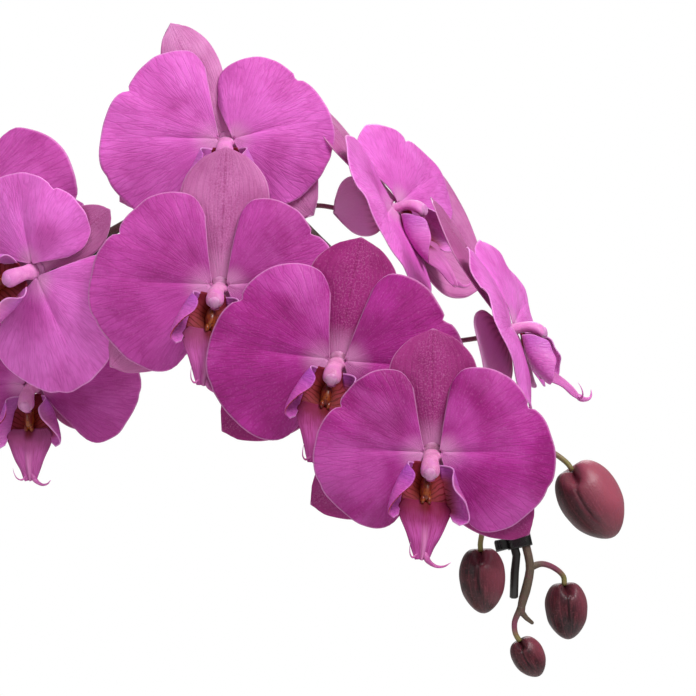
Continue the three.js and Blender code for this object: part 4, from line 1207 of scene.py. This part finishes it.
def add_sheath(bm, t, length, slot):
    """Sleeve of an old leaf round the lower stem."""
    middle, across, ahead = SPIKE.point(t) - inside(t) * 0.5, inside(t), SPIKE.tangent(t)
    stations = []
    for part, grow in ((-0.15, 0.25), (0.1, 0.45), (0.4, 0.45), (0.8, 0.3), (1.0, 0.1)):
        r = stem_radius(t) + grow
        stations.append((middle + ahead * length * part, across, ahead.cross(across), (r, r), t))
    loft(bm, stations, SIDES["sheath"], slot=slot)


def make_stem(materials):
    long_stem, stalk = 0, 1
    bm = start_mesh()
    joints = [SPIKE.nearest(p, SPIKE_STEPS) for p, _ in PEDICELS] + [t for t, _ in SHEATHS]

    def radius(t):
        stub = 0.7 * bump(t, 0.985, 0.012)
        return stem_radius(t) + sum(0.28 * bump(t, j, 0.004) for j in joints) + stub

    stations = [beside_stem(i / STEM_STEPS, 0, radius(i / STEM_STEPS)) for i in range(STEM_STEPS + 1)]
    loft(bm, tapered_end(stations, 0.7), SIDES["stem"], slot=long_stem)
    thick = [(t, STEM["pedicel"] * k) for t, k in ((0, 1.3), (0.08, 1.1), (0.7, 1), (1, 1.35))]
    for (start, mids), bloom in zip(PEDICELS, BLOOMS):
        place = bloom_place(bloom)
        axis = place.to_3x3() @ Vector((0, 0, 1))
        end = place @ Vector((0, 0, -6 - GAP))
        add_stalk(bm, start, mids, axis, end, 7, 28, lambda t: along(thick, t), stalk, 0.25)
    for bud in BUDS:
        base = Vector(bud["base"])
        axis = (Vector(bud["tip"]) - base).normalized()
        add_stalk(bm, bud["start"], bud["mids"], axis, base - axis * GAP, 4, 24,
                  lambda t: 1.45 - 0.2 * t + 0.5 * (1 - t) ** 6, stalk, 1.0)
    for t, length in SHEATHS:
        add_sheath(bm, t, length, long_stem)
    finish_piece("flower_stem_skin", bm, materials, ["flower_stem"])
    bm = start_mesh()
    for start, mids in PEDICELS:
        t, root = spike_start(start)
        out = (Vector(mids[0]) - root).normalized()
        ahead = SPIKE.tangent(t)
        axis = (ahead - out * ahead.dot(out)).normalized()
        bract(bm, root + out * 1.2 - axis * 3.4, axis, out, 4.6, 4.2)
    finish_piece("flower_stem_scales", bm, [materials[long_stem]], ["flower_stem"], SCALE_THICKNESS)


BUD_SHAPE = [
    (0, 0), (0.012, 0.28), (0.04, 0.5), (0.10, 0.76), (0.2, 0.94), (0.34, 1), (0.5, 0.98), (0.66, 0.89),
    (0.8, 0.7), (0.9, 0.49), (0.96, 0.3), (0.99, 0.14), (1, 0)]
# Each seam's weight and how far along the bud it reaches, and how a seam is cut
BUD_SEAMS = ((1.0, 0.84), (0.6, 0.95), (0.6, 0.95))
SEAM_WIDTH, SEAM_DEPTH = 0.055, 0.12
SEAM_SWELL, SWELL_REACH = 0.055, 0.42
BUD_PAINTED_LIGHT = Vector((0.6, -0.1, 0.7))


def bud_mesh(bm, bud):
    """Closed bud: two shoulders beside the stalk, three seams between the sepals, a blunt point."""
    base = Vector(bud["base"])
    axis = Vector(bud["tip"]) - base
    length, radius = axis.length, bud["radius"]
    made = bmesh.ops.create_uvsphere(bm, u_segments=96, v_segments=56, radius=1, calc_uvs=True)["verts"]
    tones = bm.verts.layers.float["tone"]
    runs = bm.verts.layers.float["run"]
    z_axis = axis.normalized()
    # the main seam lies on the side that looks along -Y, turned by the bud's own angle
    front = Vector((0, -1, 0)) - z_axis * Vector((0, -1, 0)).dot(z_axis)
    x_axis = Matrix.Rotation(math.radians(bud["turn"]), 3, z_axis) @ front.normalized()
    frame_of = Matrix((x_axis, z_axis.cross(x_axis), z_axis)).transposed()
    for vert in made:
        x, y, z = vert.co
        t = clamp((1 + z) / 2)
        around = math.atan2(y, x)
        wide = along(BUD_SHAPE, t)
        seams, swell = 0.0, 0.0
        bend = 0.16 * hump(t * 1.2)
        for k, (weight, reach) in enumerate(BUD_SEAMS):
            off = math.remainder(around - k * math.tau / 3 - bend, math.tau)
            fade = clamp(t * 12) * clamp((reach - t) * 4)
            seams = max(seams, weight * bump(off, 0, SEAM_WIDTH) * fade)
            side = math.exp(-abs(off) / SWELL_REACH) * (1 if off > 0 else 0.35)
            swell = max(swell, weight * side * fade)
        lobed = 1 + SEAM_SWELL * swell - SEAM_DEPTH * seams
        rough = 1 + 0.022 * noise.noise(Vector((x, y, z)) * 1.8 + Vector((bud["turn"], radius, 0)))
        r = radius * wide * lobed * rough * 0.985 if wide else 0
        notch = bump(math.remainder(around, math.tau), 0, 0.42)
        shoulder = hump(clamp(wide)) * clamp((0.34 - t) * 5) * (0.10 - 0.2 * notch)
        height = length * (t - shoulder) + 0.02 * length * (1 - wide) * (1 if t < 0.5 else 0)
        p = frame_of @ Vector((r * math.cos(around), r * math.sin(around), height))
        vert.co = (base + p) * MM
        out = frame_of @ Vector((math.cos(around) * wide, math.sin(around) * wide, (t - 0.5) * 0.8))
        # painted light: the tone rises on the side of the bud that faces up and to the right, as if lit, and
        # falls on the other side, as if shaded
        vert[tones] = clamp(bud["tone"] - 0.4 + 0.8 * out.dot(BUD_PAINTED_LIGHT))
        # run marks the seams, which bud_finish darkens as painted shade
        vert[runs] = clamp(seams * 1.2)
    for face in bm.faces:
        face.smooth = True


def rod_stations():
    start = SPIKE.nearest((-15, 38, 258), SPIKE_STEPS)
    end = SPIKE.nearest((301, -51, 436), SPIKE_STEPS)
    offset, radius, count = ROD["offset"], ROD["radius"], 150
    foot = beside_stem(start, offset, radius)[0] + Vector((4.2, 0.6, 0))

    def level(p, nx, r=radius):
        return (Vector(p), Vector((nx, 0, 0)), Vector((0, 1, 0)), (r, r), 0.0)

    stations = [level((foot.x, foot.y, 30), 1), level((foot.x, foot.y, 150), 1),
                level((foot.x - 0.6, foot.y - 0.1, 210), 1)]
    stations += [beside_stem(start + (end - start) * i / count, offset, radius) for i in range(count + 1)]
    stations += [level((295.2, -51, 427), -1), level((294.8, -51, 415.6), -1)]
    return stations + [level((294.8, -51, 415.0), -1, 1.2)]


CLIP_POINTS = ((-19, 57, 386), (116, 60, 598.5), (299.6, -50, 443))
CLIP = dict(wall=1.3, height=6, stem_play=0.55, rod_play=0.6, edge=0.4)
TAB = dict(size=(6.5, 1.4, 5), out=2.4, apart=2.1, splay=0.5, edge=0.62)
RIB = dict(radii=(0.35, 0.35, 2.2), out=2.6, apart=3.3, step=(1.1, 0.6))


def soften(bm, edges, offset, segments):
    bmesh.ops.bevel(bm, geom=edges, offset=offset * MM, offset_type="OFFSET", affect="EDGES",
                    segments=segments, profile=0.5, material=-1)


def splayed(x, y, side, sizes):
    """Place of a tab or rib on one side of the clip."""
    return (Matrix.Translation(Vector((x, side * y, 0)) * MM) @ Matrix.Rotation(side * TAB["splay"], 4, "Z")
            @ Matrix.Diagonal((*[size * MM for size in sizes], 1)))


def make_clip(bm, t):
    """Oval band round stem and rod, with two ribbed finger tabs."""
    x, z = inside(t), SPIKE.tangent(t)
    place = Matrix.Translation(SPIKE.point(t) * MM) @ Matrix((x, z.cross(x), z)).transposed().to_4x4()
    half = CLIP["wall"] / 2
    big = stem_radius(t) + CLIP["stem_play"] + half
    small = ROD["radius"] + CLIP["rod_play"] + half
    for vert in bmesh.ops.create_circle(bm, segments=SIDES["clip"], radius=1)["verts"]:
        a = math.atan2(vert.co.y, vert.co.x)
        r, shift = (small, ROD["offset"]) if math.cos(a) > 0 else (big, 0.0)
        vert.co = Vector((shift + r * math.cos(a), r * math.sin(a), -CLIP["height"] / 2)) * MM
    up = bmesh.ops.extrude_edge_only(bm, edges=bm.edges)["geom"]
    bmesh.ops.translate(bm, verts=[g for g in up if isinstance(g, bmesh.types.BMVert)],
                        vec=(0, 0, CLIP["height"] * MM))
    bmesh.ops.recalc_face_normals(bm, faces=bm.faces)
    bmesh.ops.solidify(bm, geom=bm.faces, thickness=CLIP["wall"] * MM)
    soften(bm, [e for e in bm.edges if e.calc_face_angle(0) > 1], CLIP["edge"], 3)
    outer = ROD["offset"] + small
    for side in (1, -1):
        tab = bmesh.ops.create_cube(
            bm, size=1, matrix=splayed(outer + TAB["out"], TAB["apart"], side, TAB["size"]))["verts"]
        soften(bm, list({e for v in tab for e in v.link_edges}), TAB["edge"], 4)
        for k in range(3):
            along_tab, across_tab = (step * k for step in RIB["step"])
            rib = splayed(outer + RIB["out"] + along_tab, RIB["apart"] + across_tab, side, RIB["radii"])
            bmesh.ops.create_uvsphere(bm, u_segments=10, v_segments=6, radius=1, matrix=rib)
    bmesh.ops.recalc_face_normals(bm, faces=bm.faces)
    for vert in bm.verts:
        vert.co = place @ vert.co


# Leaves: azimuth (degrees), foot height, rise angle at the foot, total bend, length, width
LEAVES = [
    (184, 122, 20, 62, 205, 74), (-4, 126, 24, 66, 225, 80), (170, 131, 32, 70, 240, 84),
    (12, 136, 38, 74, 235, 82), (192, 141, 48, 70, 200, 72), (-14, 146, 60, 62, 150, 58),
]
LEAF_WIDTH = [
    (0, 0.25), (0.08, 0.28), (0.22, 0.54), (0.42, 0.9), (0.6, 1), (0.78, 0.9), (0.9, 0.66), (0.97, 0.38),
    (1, 0.08)]
LEAF_STEPS = 24
CROWN = [
    (0, 100), (7, 100), (8.6, 104), (9, 112), (9, 124), (8.4, 134), (7.4, 146), (5.4, 155), (2.4, 157),
    (0, 157)]


def leaf_surface(azimuth, foot, rise, bend, length, width):
    turned = math.radians(azimuth)
    line = [(2.0, float(foot))]
    for i in range(1, LEAF_STEPS + 1):
        angle = math.radians(rise - bend * ((i - 0.5) / LEAF_STEPS) ** 1.25)
        r, z = line[-1]
        step = length / LEAF_STEPS
        line.append((r + math.cos(angle) * step, z + math.sin(angle) * step))

    def surface(u, v):
        s = 1 - 2 * v
        place = u * LEAF_STEPS
        i = min(int(place), LEAF_STEPS - 1)
        part = place - i
        r = line[i][0] * (1 - part) + line[i + 1][0] * part
        z = line[i][1] * (1 - part) + line[i + 1][1] * part
        w = along(LEAF_WIDTH, u) * width * 0.5
        keel = (0.62 - 0.55 * u) * abs(s) ** 1.12 * w + 1.6 * (1 - bump(s, 0, 0.12))
        keel += 0.9 * abs(s) ** 3 * math.sin(u * 11 + azimuth) * u
        tilt = math.radians(rise - bend * u ** 1.25)
        rr, zz = r - math.sin(tilt) * keel, z + math.cos(tilt) * keel
        return Vector((*rotated(rr, s * w, turned), zz))

    return surface


# Air roots: (degrees round the pot, radius, height) of each point; C is beside the leafy stem
C = CROWN_RADIUS + GAP + 0.7
ROOT_STEPS = 70
ROOTS = [
    [(268, C, 117), (266, 20, 121), (262, 38, 120), (256, 54, 123), (250, 66, 129.5), (247, 76, 127),
     (246, 80, 112), (244, 79, 94), (240, 77, 78)],
    [(312, C, 116.5), (316, 22, 119), (324, 38, 117), (330, 52, 113), (334, 58, 104)],
    [(222, C, 116.5), (216, 22, 120), (206, 36, 118), (200, 50, 112.5), (198, 56, 103)],
    [(52, C, 117), (54, 24, 120), (64, 40, 119), (72, 54, 122), (76, 66, 129.5), (77, 75.5, 128),
     (78, 80, 116), (80, 80, 100)],
    [(128, C, 116.5), (132, 22, 119.5), (140, 38, 117), (146, 51, 112), (148, 56, 103)],
]


def root_route(points):
    return Route([(r * math.cos(math.radians(a)), r * math.sin(math.radians(a)), z) for a, r, z in points])


# Pot and bark
POT = dict(height=125, rim=70, foot=52, wall=5, floor=8)
BARK_TOP = 112
FOOT_RING = 1.3


def pot_wall(z):
    part = clamp(z / POT["height"])
    eased = part * part * (3 - 2 * part)
    return POT["foot"] + (POT["rim"] - POT["foot"]) * (0.35 * eased + 0.65 * z / POT["height"])


def pot_inside(z):
    return pot_wall(z) - POT["wall"]


def pot_profile():
    foot, rim, floor = POT["foot"], POT["rim"], POT["floor"]
    out = [(0, 1.2), (foot - 7, 1.2), (foot - 6.2, 0), (foot - 1.6, 0), (foot - 0.5, 0.5), (foot, 1.6)]
    out += [(pot_wall(z), z) for z in (6, 14, 26, 40, 54, 68, 82, 94, 104, 110)]
    out += [(pot_wall(112) + 0.1, 112)]
    out += [(rim + r, z) for r, z in (
        (0.5, 112.9), (1.0, 114), (1.3, 118), (1.4, 122.4), (1.1, 124.1), (0.2, 125), (-1.6, 125.1),
        (-3.2, 125), (-4.4, 124.2), (-4.9, 123))]
    out += [(pot_inside(z), z) for z in (112, 98, 84, 66, 48, 30, 18)]
    return out + [(pot_inside(12) - 1.2, 11.5), (pot_inside(floor) - 4.5, floor), (0, floor)]


BARK_SEED = 20771


def add_bed(bm):
    """Bark that fills the pot, with an uneven top."""
    top, low = BARK_TOP - 1.0, POT["floor"] + 0.4
    edge = pot_inside(BARK_TOP) - 2.2
    profile = [(0, low), (pot_inside(POT["floor"]) - 6, low)]
    profile += [(pot_inside(z) - 1.5, z) for z in (14, 45, 85)]
    profile += [(edge, top - 1)] + [(edge * k, top) for k in (0.97, 0.8, 0.6, 0.4, 0.2)] + [(0, top)]
    spin_profile(bm, profile, SIDES["bark"], slot=1)
    for vert in bm.verts:
        if vert.co.z > (top - 2) * MM:
            vert.co.z += (noise.noise(vert.co * 90) - 0.4) * 2.4 * MM


def add_chip(bm, size, turn, place, tone, offset):
    """One chip: a coarse sphere pulled towards a block and roughened."""
    tones = bm.verts.layers.float["tone"]
    for vert in bmesh.ops.create_uvsphere(bm, u_segments=8, v_segments=6, radius=1)["verts"]:
        corner = vert.co.copy()
        square = 0.5 * (0.45 / max(abs(c) for c in corner) + 0.55)
        p = Vector([c * s for c, s in zip(corner, size)]) * square
        p += Vector([noise.noise(corner * 2.1 + offset + Vector((0, 0, 7 * k))) for k in range(3)]) * 1.5
        vert.co = (turn @ p + place) * MM
        vert[tones] = tone


def make_bark(materials, count):
    rng = random.Random(BARK_SEED)
    bm = start_mesh()
    add_bed(bm)
    edge = pot_inside(BARK_TOP) - 4
    crossing = [root_route(points).point(i / 30) for points in ROOTS for i in range(31)]
    rod = rod_stations()[1][0]
    placed = 0
    while placed < count:
        r = edge * math.sqrt(rng.random())
        a = rng.random() * math.tau
        size = long, wide, _ = rng.uniform(9, 19), rng.uniform(6, 12), rng.uniform(2.6, 5.2)
        x, y = r * math.cos(a), r * math.sin(a)
        z = BARK_TOP + rng.uniform(-1.2, 2.6)
        reach = long * 0.42
        # chips stay clear of the leafy stem, the wall, the rod and the flower stem, and sink under roots
        if r < CROWN_RADIUS + reach or r + reach * 0.8 > edge + 3:
            continue
        if math.hypot(x - rod.x, y - rod.y) < reach + 2 or math.hypot(x, y - CROWN_RADIUS - 5) < reach + 4:
            continue
        if any(math.hypot(x - p.x, y - p.y) < wide * 0.5 + 2.5 and abs(p.z - z) < 7 for p in crossing):
            z = BARK_TOP - 1.6
        turn = (Matrix.Rotation(rng.random() * math.tau, 4, "Z")
                @ Matrix.Rotation(rng.uniform(-0.4, 0.4), 4, "X")
                @ Matrix.Rotation(rng.uniform(-0.35, 0.35), 4, "Y"))
        tone = rng.random()
        offset = Vector((rng.random() * 50, placed, 0))
        add_chip(bm, size, turn, Vector((x, y, z)), tone, offset)
        placed += 1
    finish_piece("bark_chips", bm, materials, ["bark"])


# Operators: one for each group of like pieces
class ORCHID_OT_petals(bpy.types.Operator):
    """Petals, sepals and receptacle of every bloom"""
    bl_idname = "orchid.petals"
    bl_label = "Petals and sepals"

    def execute(self, context):
        settings = context.scene.orchid_blooms
        materials = [
            petal_finish("petal_face", settings), petal_finish("petal_back", settings, back=True),
            sepal_finish("sepal_face", settings), sepal_finish("sepal_back", settings, back=True),
            column_finish("receptacle", "A9688C", "C98BB4"),
        ]
        for number, bloom in enumerate(BLOOMS, 1):
            make_tepals(number, bloom, materials, settings.thickness)
        return {"FINISHED"}


class ORCHID_OT_lips(bpy.types.Operator):
    """Lip of every bloom: side lobes, middle lobe, callus and tendrils"""
    bl_idname = "orchid.lips"
    bl_label = "Lips"

    def execute(self, context):
        settings = context.scene.orchid_blooms
        materials = [
            lip_blade_finish(settings), lip_throat_finish(settings), lip_ear_finish(settings, inner=True),
            lip_ear_finish(settings, inner=False), callus_finish(settings),
            column_finish("tendril", "A44686", "BC62A0"),
        ]
        for number, bloom in enumerate(BLOOMS, 1):
            make_lip(number, bloom, materials, settings.thickness)
        return {"FINISHED"}


class ORCHID_OT_columns(bpy.types.Operator):
    """Column of every bloom, with its cap"""
    bl_idname = "orchid.columns"
    bl_label = "Columns"

    def execute(self, context):
        # the hollow's darker pink is painted shade
        materials = [column_finish("column_skin", "C070A0", "D68CB8"),
                     column_finish("column_cap", "D490BC", "C070A8"),
                     column_finish("column_hollow_shade", "8E3A60", "A34C74")]
        for number, bloom in enumerate(BLOOMS, 1):
            make_column(number, bloom, materials)
        return {"FINISHED"}


class ORCHID_OT_buds(bpy.types.Operator):
    """The four closed buds"""
    bl_idname = "orchid.buds"
    bl_label = "Buds"

    def execute(self, context):
        material = bud_finish(context.scene.orchid_plant)
        for number, bud in enumerate(BUDS, 1):
            bm = start_mesh()
            bud_mesh(bm, bud)
            finish_piece(f"bud_{number}_skin", bm, [material], [f"bud_{number}"])
        return {"FINISHED"}


class ORCHID_OT_stem(bpy.types.Operator):
    """Flower stem with its stalks, sheaths and scales"""
    bl_idname = "orchid.stem"
    bl_label = "Flower stem"

    def execute(self, context):
        settings = context.scene.orchid_plant
        materials = [stem_finish("stem_skin", settings, True), stem_finish("stalk_skin", settings, False)]
        make_stem(materials)
        return {"FINISHED"}


class ORCHID_OT_support(bpy.types.Operator):
    """Black rod and the clips that hold the stem to it"""
    bl_idname = "orchid.support"
    bl_label = "Rod and clips"

    def execute(self, context):
        bm = start_mesh()
        loft(bm, rod_stations(), SIDES["rod"])
        rod = plastic_finish("rod_black", "1B1716", "2C2624", 0.42)
        finish_piece("stake_rod", bm, [rod], ["stake"])
        black = plastic_finish("clip_black", "0C0B0B", "1A1919", 0.22)
        for number, p in enumerate(CLIP_POINTS, 1):
            bm = start_mesh()
            make_clip(bm, SPIKE.nearest(p, SPIKE_STEPS))
            finish_piece(f"clip_{number}_band", bm, [black], [f"clip_{number}"])
        return {"FINISHED"}


class ORCHID_OT_leaves(bpy.types.Operator):
    """Six strap leaves on their short stem"""
    bl_idname = "orchid.leaves"
    bl_label = "Leaves"

    def execute(self, context):
        settings = context.scene.orchid_plant
        bm = start_mesh()
        for leaf in LEAVES:
            sheet(bm, leaf_surface(*leaf), *GRID["leaf"])
        materials = [leaf_finish(settings), leaf_finish(settings, under=True)]
        finish_piece("leaf_blades", bm, materials, ["leaves"], LEAF_THICKNESS, backs=1)
        bm = start_mesh()
        spin_profile(bm, CROWN, SIDES["crown"])
        finish_piece("leaf_crown", bm, [materials[1]], ["leaves"])
        return {"FINISHED"}


class ORCHID_OT_roots(bpy.types.Operator):
    """Air roots that wander over the bark and the rim"""
    bl_idname = "orchid.roots"
    bl_label = "Air roots"

    def execute(self, context):
        material = root_finish(context.scene.orchid_plant)
        for number, points in enumerate(ROOTS, 1):
            bm = start_mesh()

            def radius(t, number=number):
                return (2.7 - 0.7 * t) * (1 + 0.05 * noise.noise(Vector((t * 14, number, 0))))
            stations = round_stations(root_route(points), ROOT_STEPS, radius)
            loft(bm, tapered_end(stations, 1.4), SIDES["root"])
            finish_piece(f"root_{number}_skin", bm, [material], [f"root_{number}"])
        return {"FINISHED"}


class ORCHID_OT_pot(bpy.types.Operator):
    """Plain glazed pot and the bark that fills it"""
    bl_idname = "orchid.pot"
    bl_label = "Pot and bark"

    def execute(self, context):
        settings = context.scene.orchid_pot
        bm = start_mesh()
        spin_profile(bm, pot_profile(), SIDES["pot"])
        for face in bm.faces:
            face.material_index = int(face.calc_center_median().z < FOOT_RING * MM)
        finish_piece("pot_body", bm, [glaze_finish(settings), clay_finish()], ["pot"])
        # the bed is darkened by 0.45: painted shade between the chips
        materials = [bark_finish("bark_chip", settings), bark_finish("bark_bed", settings, 0.45)]
        make_bark(materials, settings.chips)
        return {"FINISHED"}


def white_world(strength):
    """World that looks white to the camera and lights the plant evenly at its own strength."""
    world = bpy.data.worlds.new("studio")
    world.use_nodes = True
    tree = world.node_tree
    tree.nodes.clear()
    kinds = ("OutputWorld", "LightPath", "MixShader", "Background", "Background")
    output, path, mix, lighting, seen = (tree.nodes.new(f"ShaderNode{kind}") for kind in kinds)
    for node, colour, power in ((seen, WHITE, 1.0), (lighting, WARM_WHITE, strength)):
        node.inputs["Color"].default_value = colour
        node.inputs["Strength"].default_value = power
    for source, target in (
            (path.outputs["Is Camera Ray"], mix.inputs[0]), (lighting.outputs[0], mix.inputs[1]),
            (seen.outputs[0], mix.inputs[2]), (mix.outputs[0], output.inputs["Surface"])):
        tree.links.new(source, target)
    return world


class ORCHID_OT_stage(bpy.types.Operator):
    """Camera, soft white light and a pale floor that fades into the background"""
    bl_idname = "orchid.stage"
    bl_label = "Stage"

    def execute(self, context):
        settings = context.scene.orchid_stage
        scene = context.scene
        scene.view_settings.view_transform = "Standard"
        scene.world = white_world(settings.sky)

        def add(name, data, location=(0, 0, 0)):
            made = bpy.data.objects.new(name, data)
            made.location = location
            scene.collection.objects.link(made)
            return made

        data = bpy.data.cameras.new("camera")
        data.lens = settings.lens
        data.sensor_width = 36
        data.clip_end = 100
        scene.camera = add("camera", data, settings.eye)
        scene.camera.rotation_euler = (math.radians(90), 0, 0)

        # name, place, aim, size and share of the key light's power
        for name, place, aim, size, share in (
                ("key", (1.0, -1.2, 2.2), (0.15, 0, 0.5), 1.0, 1.0),
                ("fill", (-1.5, -1.3, 1.1), (0.15, 0, 0.45), 1.4, 0.16),
                ("back", (0.2, 1.6, 1.7), (0.15, 0, 0.5), 1.2, 0.3)):
            lamp = bpy.data.lights.new(name, "AREA")
            lamp.energy = settings.key_power * share
            lamp.size = size
            aimed = (Vector(aim) - Vector(place)).to_track_quat("-Z", "Y")
            add(name, lamp, place).rotation_euler = aimed.to_euler()

        bm = bmesh.new()
        bmesh.ops.create_circle(bm, cap_ends=True, segments=SIDES["floor"], radius=FLOOR_RADIUS)
        mesh = bpy.data.meshes.new("floor")
        bm.to_mesh(mesh)
        bm.free()
        mesh.materials.append(floor_finish())
        floor = add("floor", mesh)
        return {"FINISHED"}


OPERATORS = (
    ORCHID_OT_stage, ORCHID_OT_petals, ORCHID_OT_lips, ORCHID_OT_columns, ORCHID_OT_buds, ORCHID_OT_stem,
    ORCHID_OT_support, ORCHID_OT_leaves, ORCHID_OT_roots, ORCHID_OT_pot,
)


class ORCHID_PT_panel(bpy.types.Panel):
    """Lists the settings and the steps that build the orchid"""
    bl_label = "Orchid"
    bl_idname = "ORCHID_PT_panel"
    bl_space_type = "VIEW_3D"
    bl_region_type = "UI"
    bl_category = "Orchid"

    def draw(self, context):
        layout = self.layout
        for group in ("orchid_blooms", "orchid_plant", "orchid_pot", "orchid_stage"):
            settings = getattr(context.scene, group)
            box = layout.box()
            for name in settings.__annotations__:
                box.prop(settings, name)
        for operator in OPERATORS:
            layout.operator(operator.bl_idname)


GROUPS = {
    "orchid_blooms": OrchidBloomSettings, "orchid_plant": OrchidPlantSettings,
    "orchid_pot": OrchidPotSettings, "orchid_stage": OrchidStageSettings,
}


def register():
    for cls in (*GROUPS.values(), *OPERATORS, ORCHID_PT_panel):
        bpy.utils.register_class(cls)
    for name, cls in GROUPS.items():
        setattr(bpy.types.Scene, name, PointerProperty(type=cls))


def unregister():
    for name in GROUPS:
        delattr(bpy.types.Scene, name)
    for cls in reversed((*GROUPS.values(), *OPERATORS, ORCHID_PT_panel)):
        bpy.utils.unregister_class(cls)


def main():
    register()
    for operator in OPERATORS:
        group, name = operator.bl_idname.split(".")
        getattr(getattr(bpy.ops, group), name)()


if __name__ == "__main__":
    main()
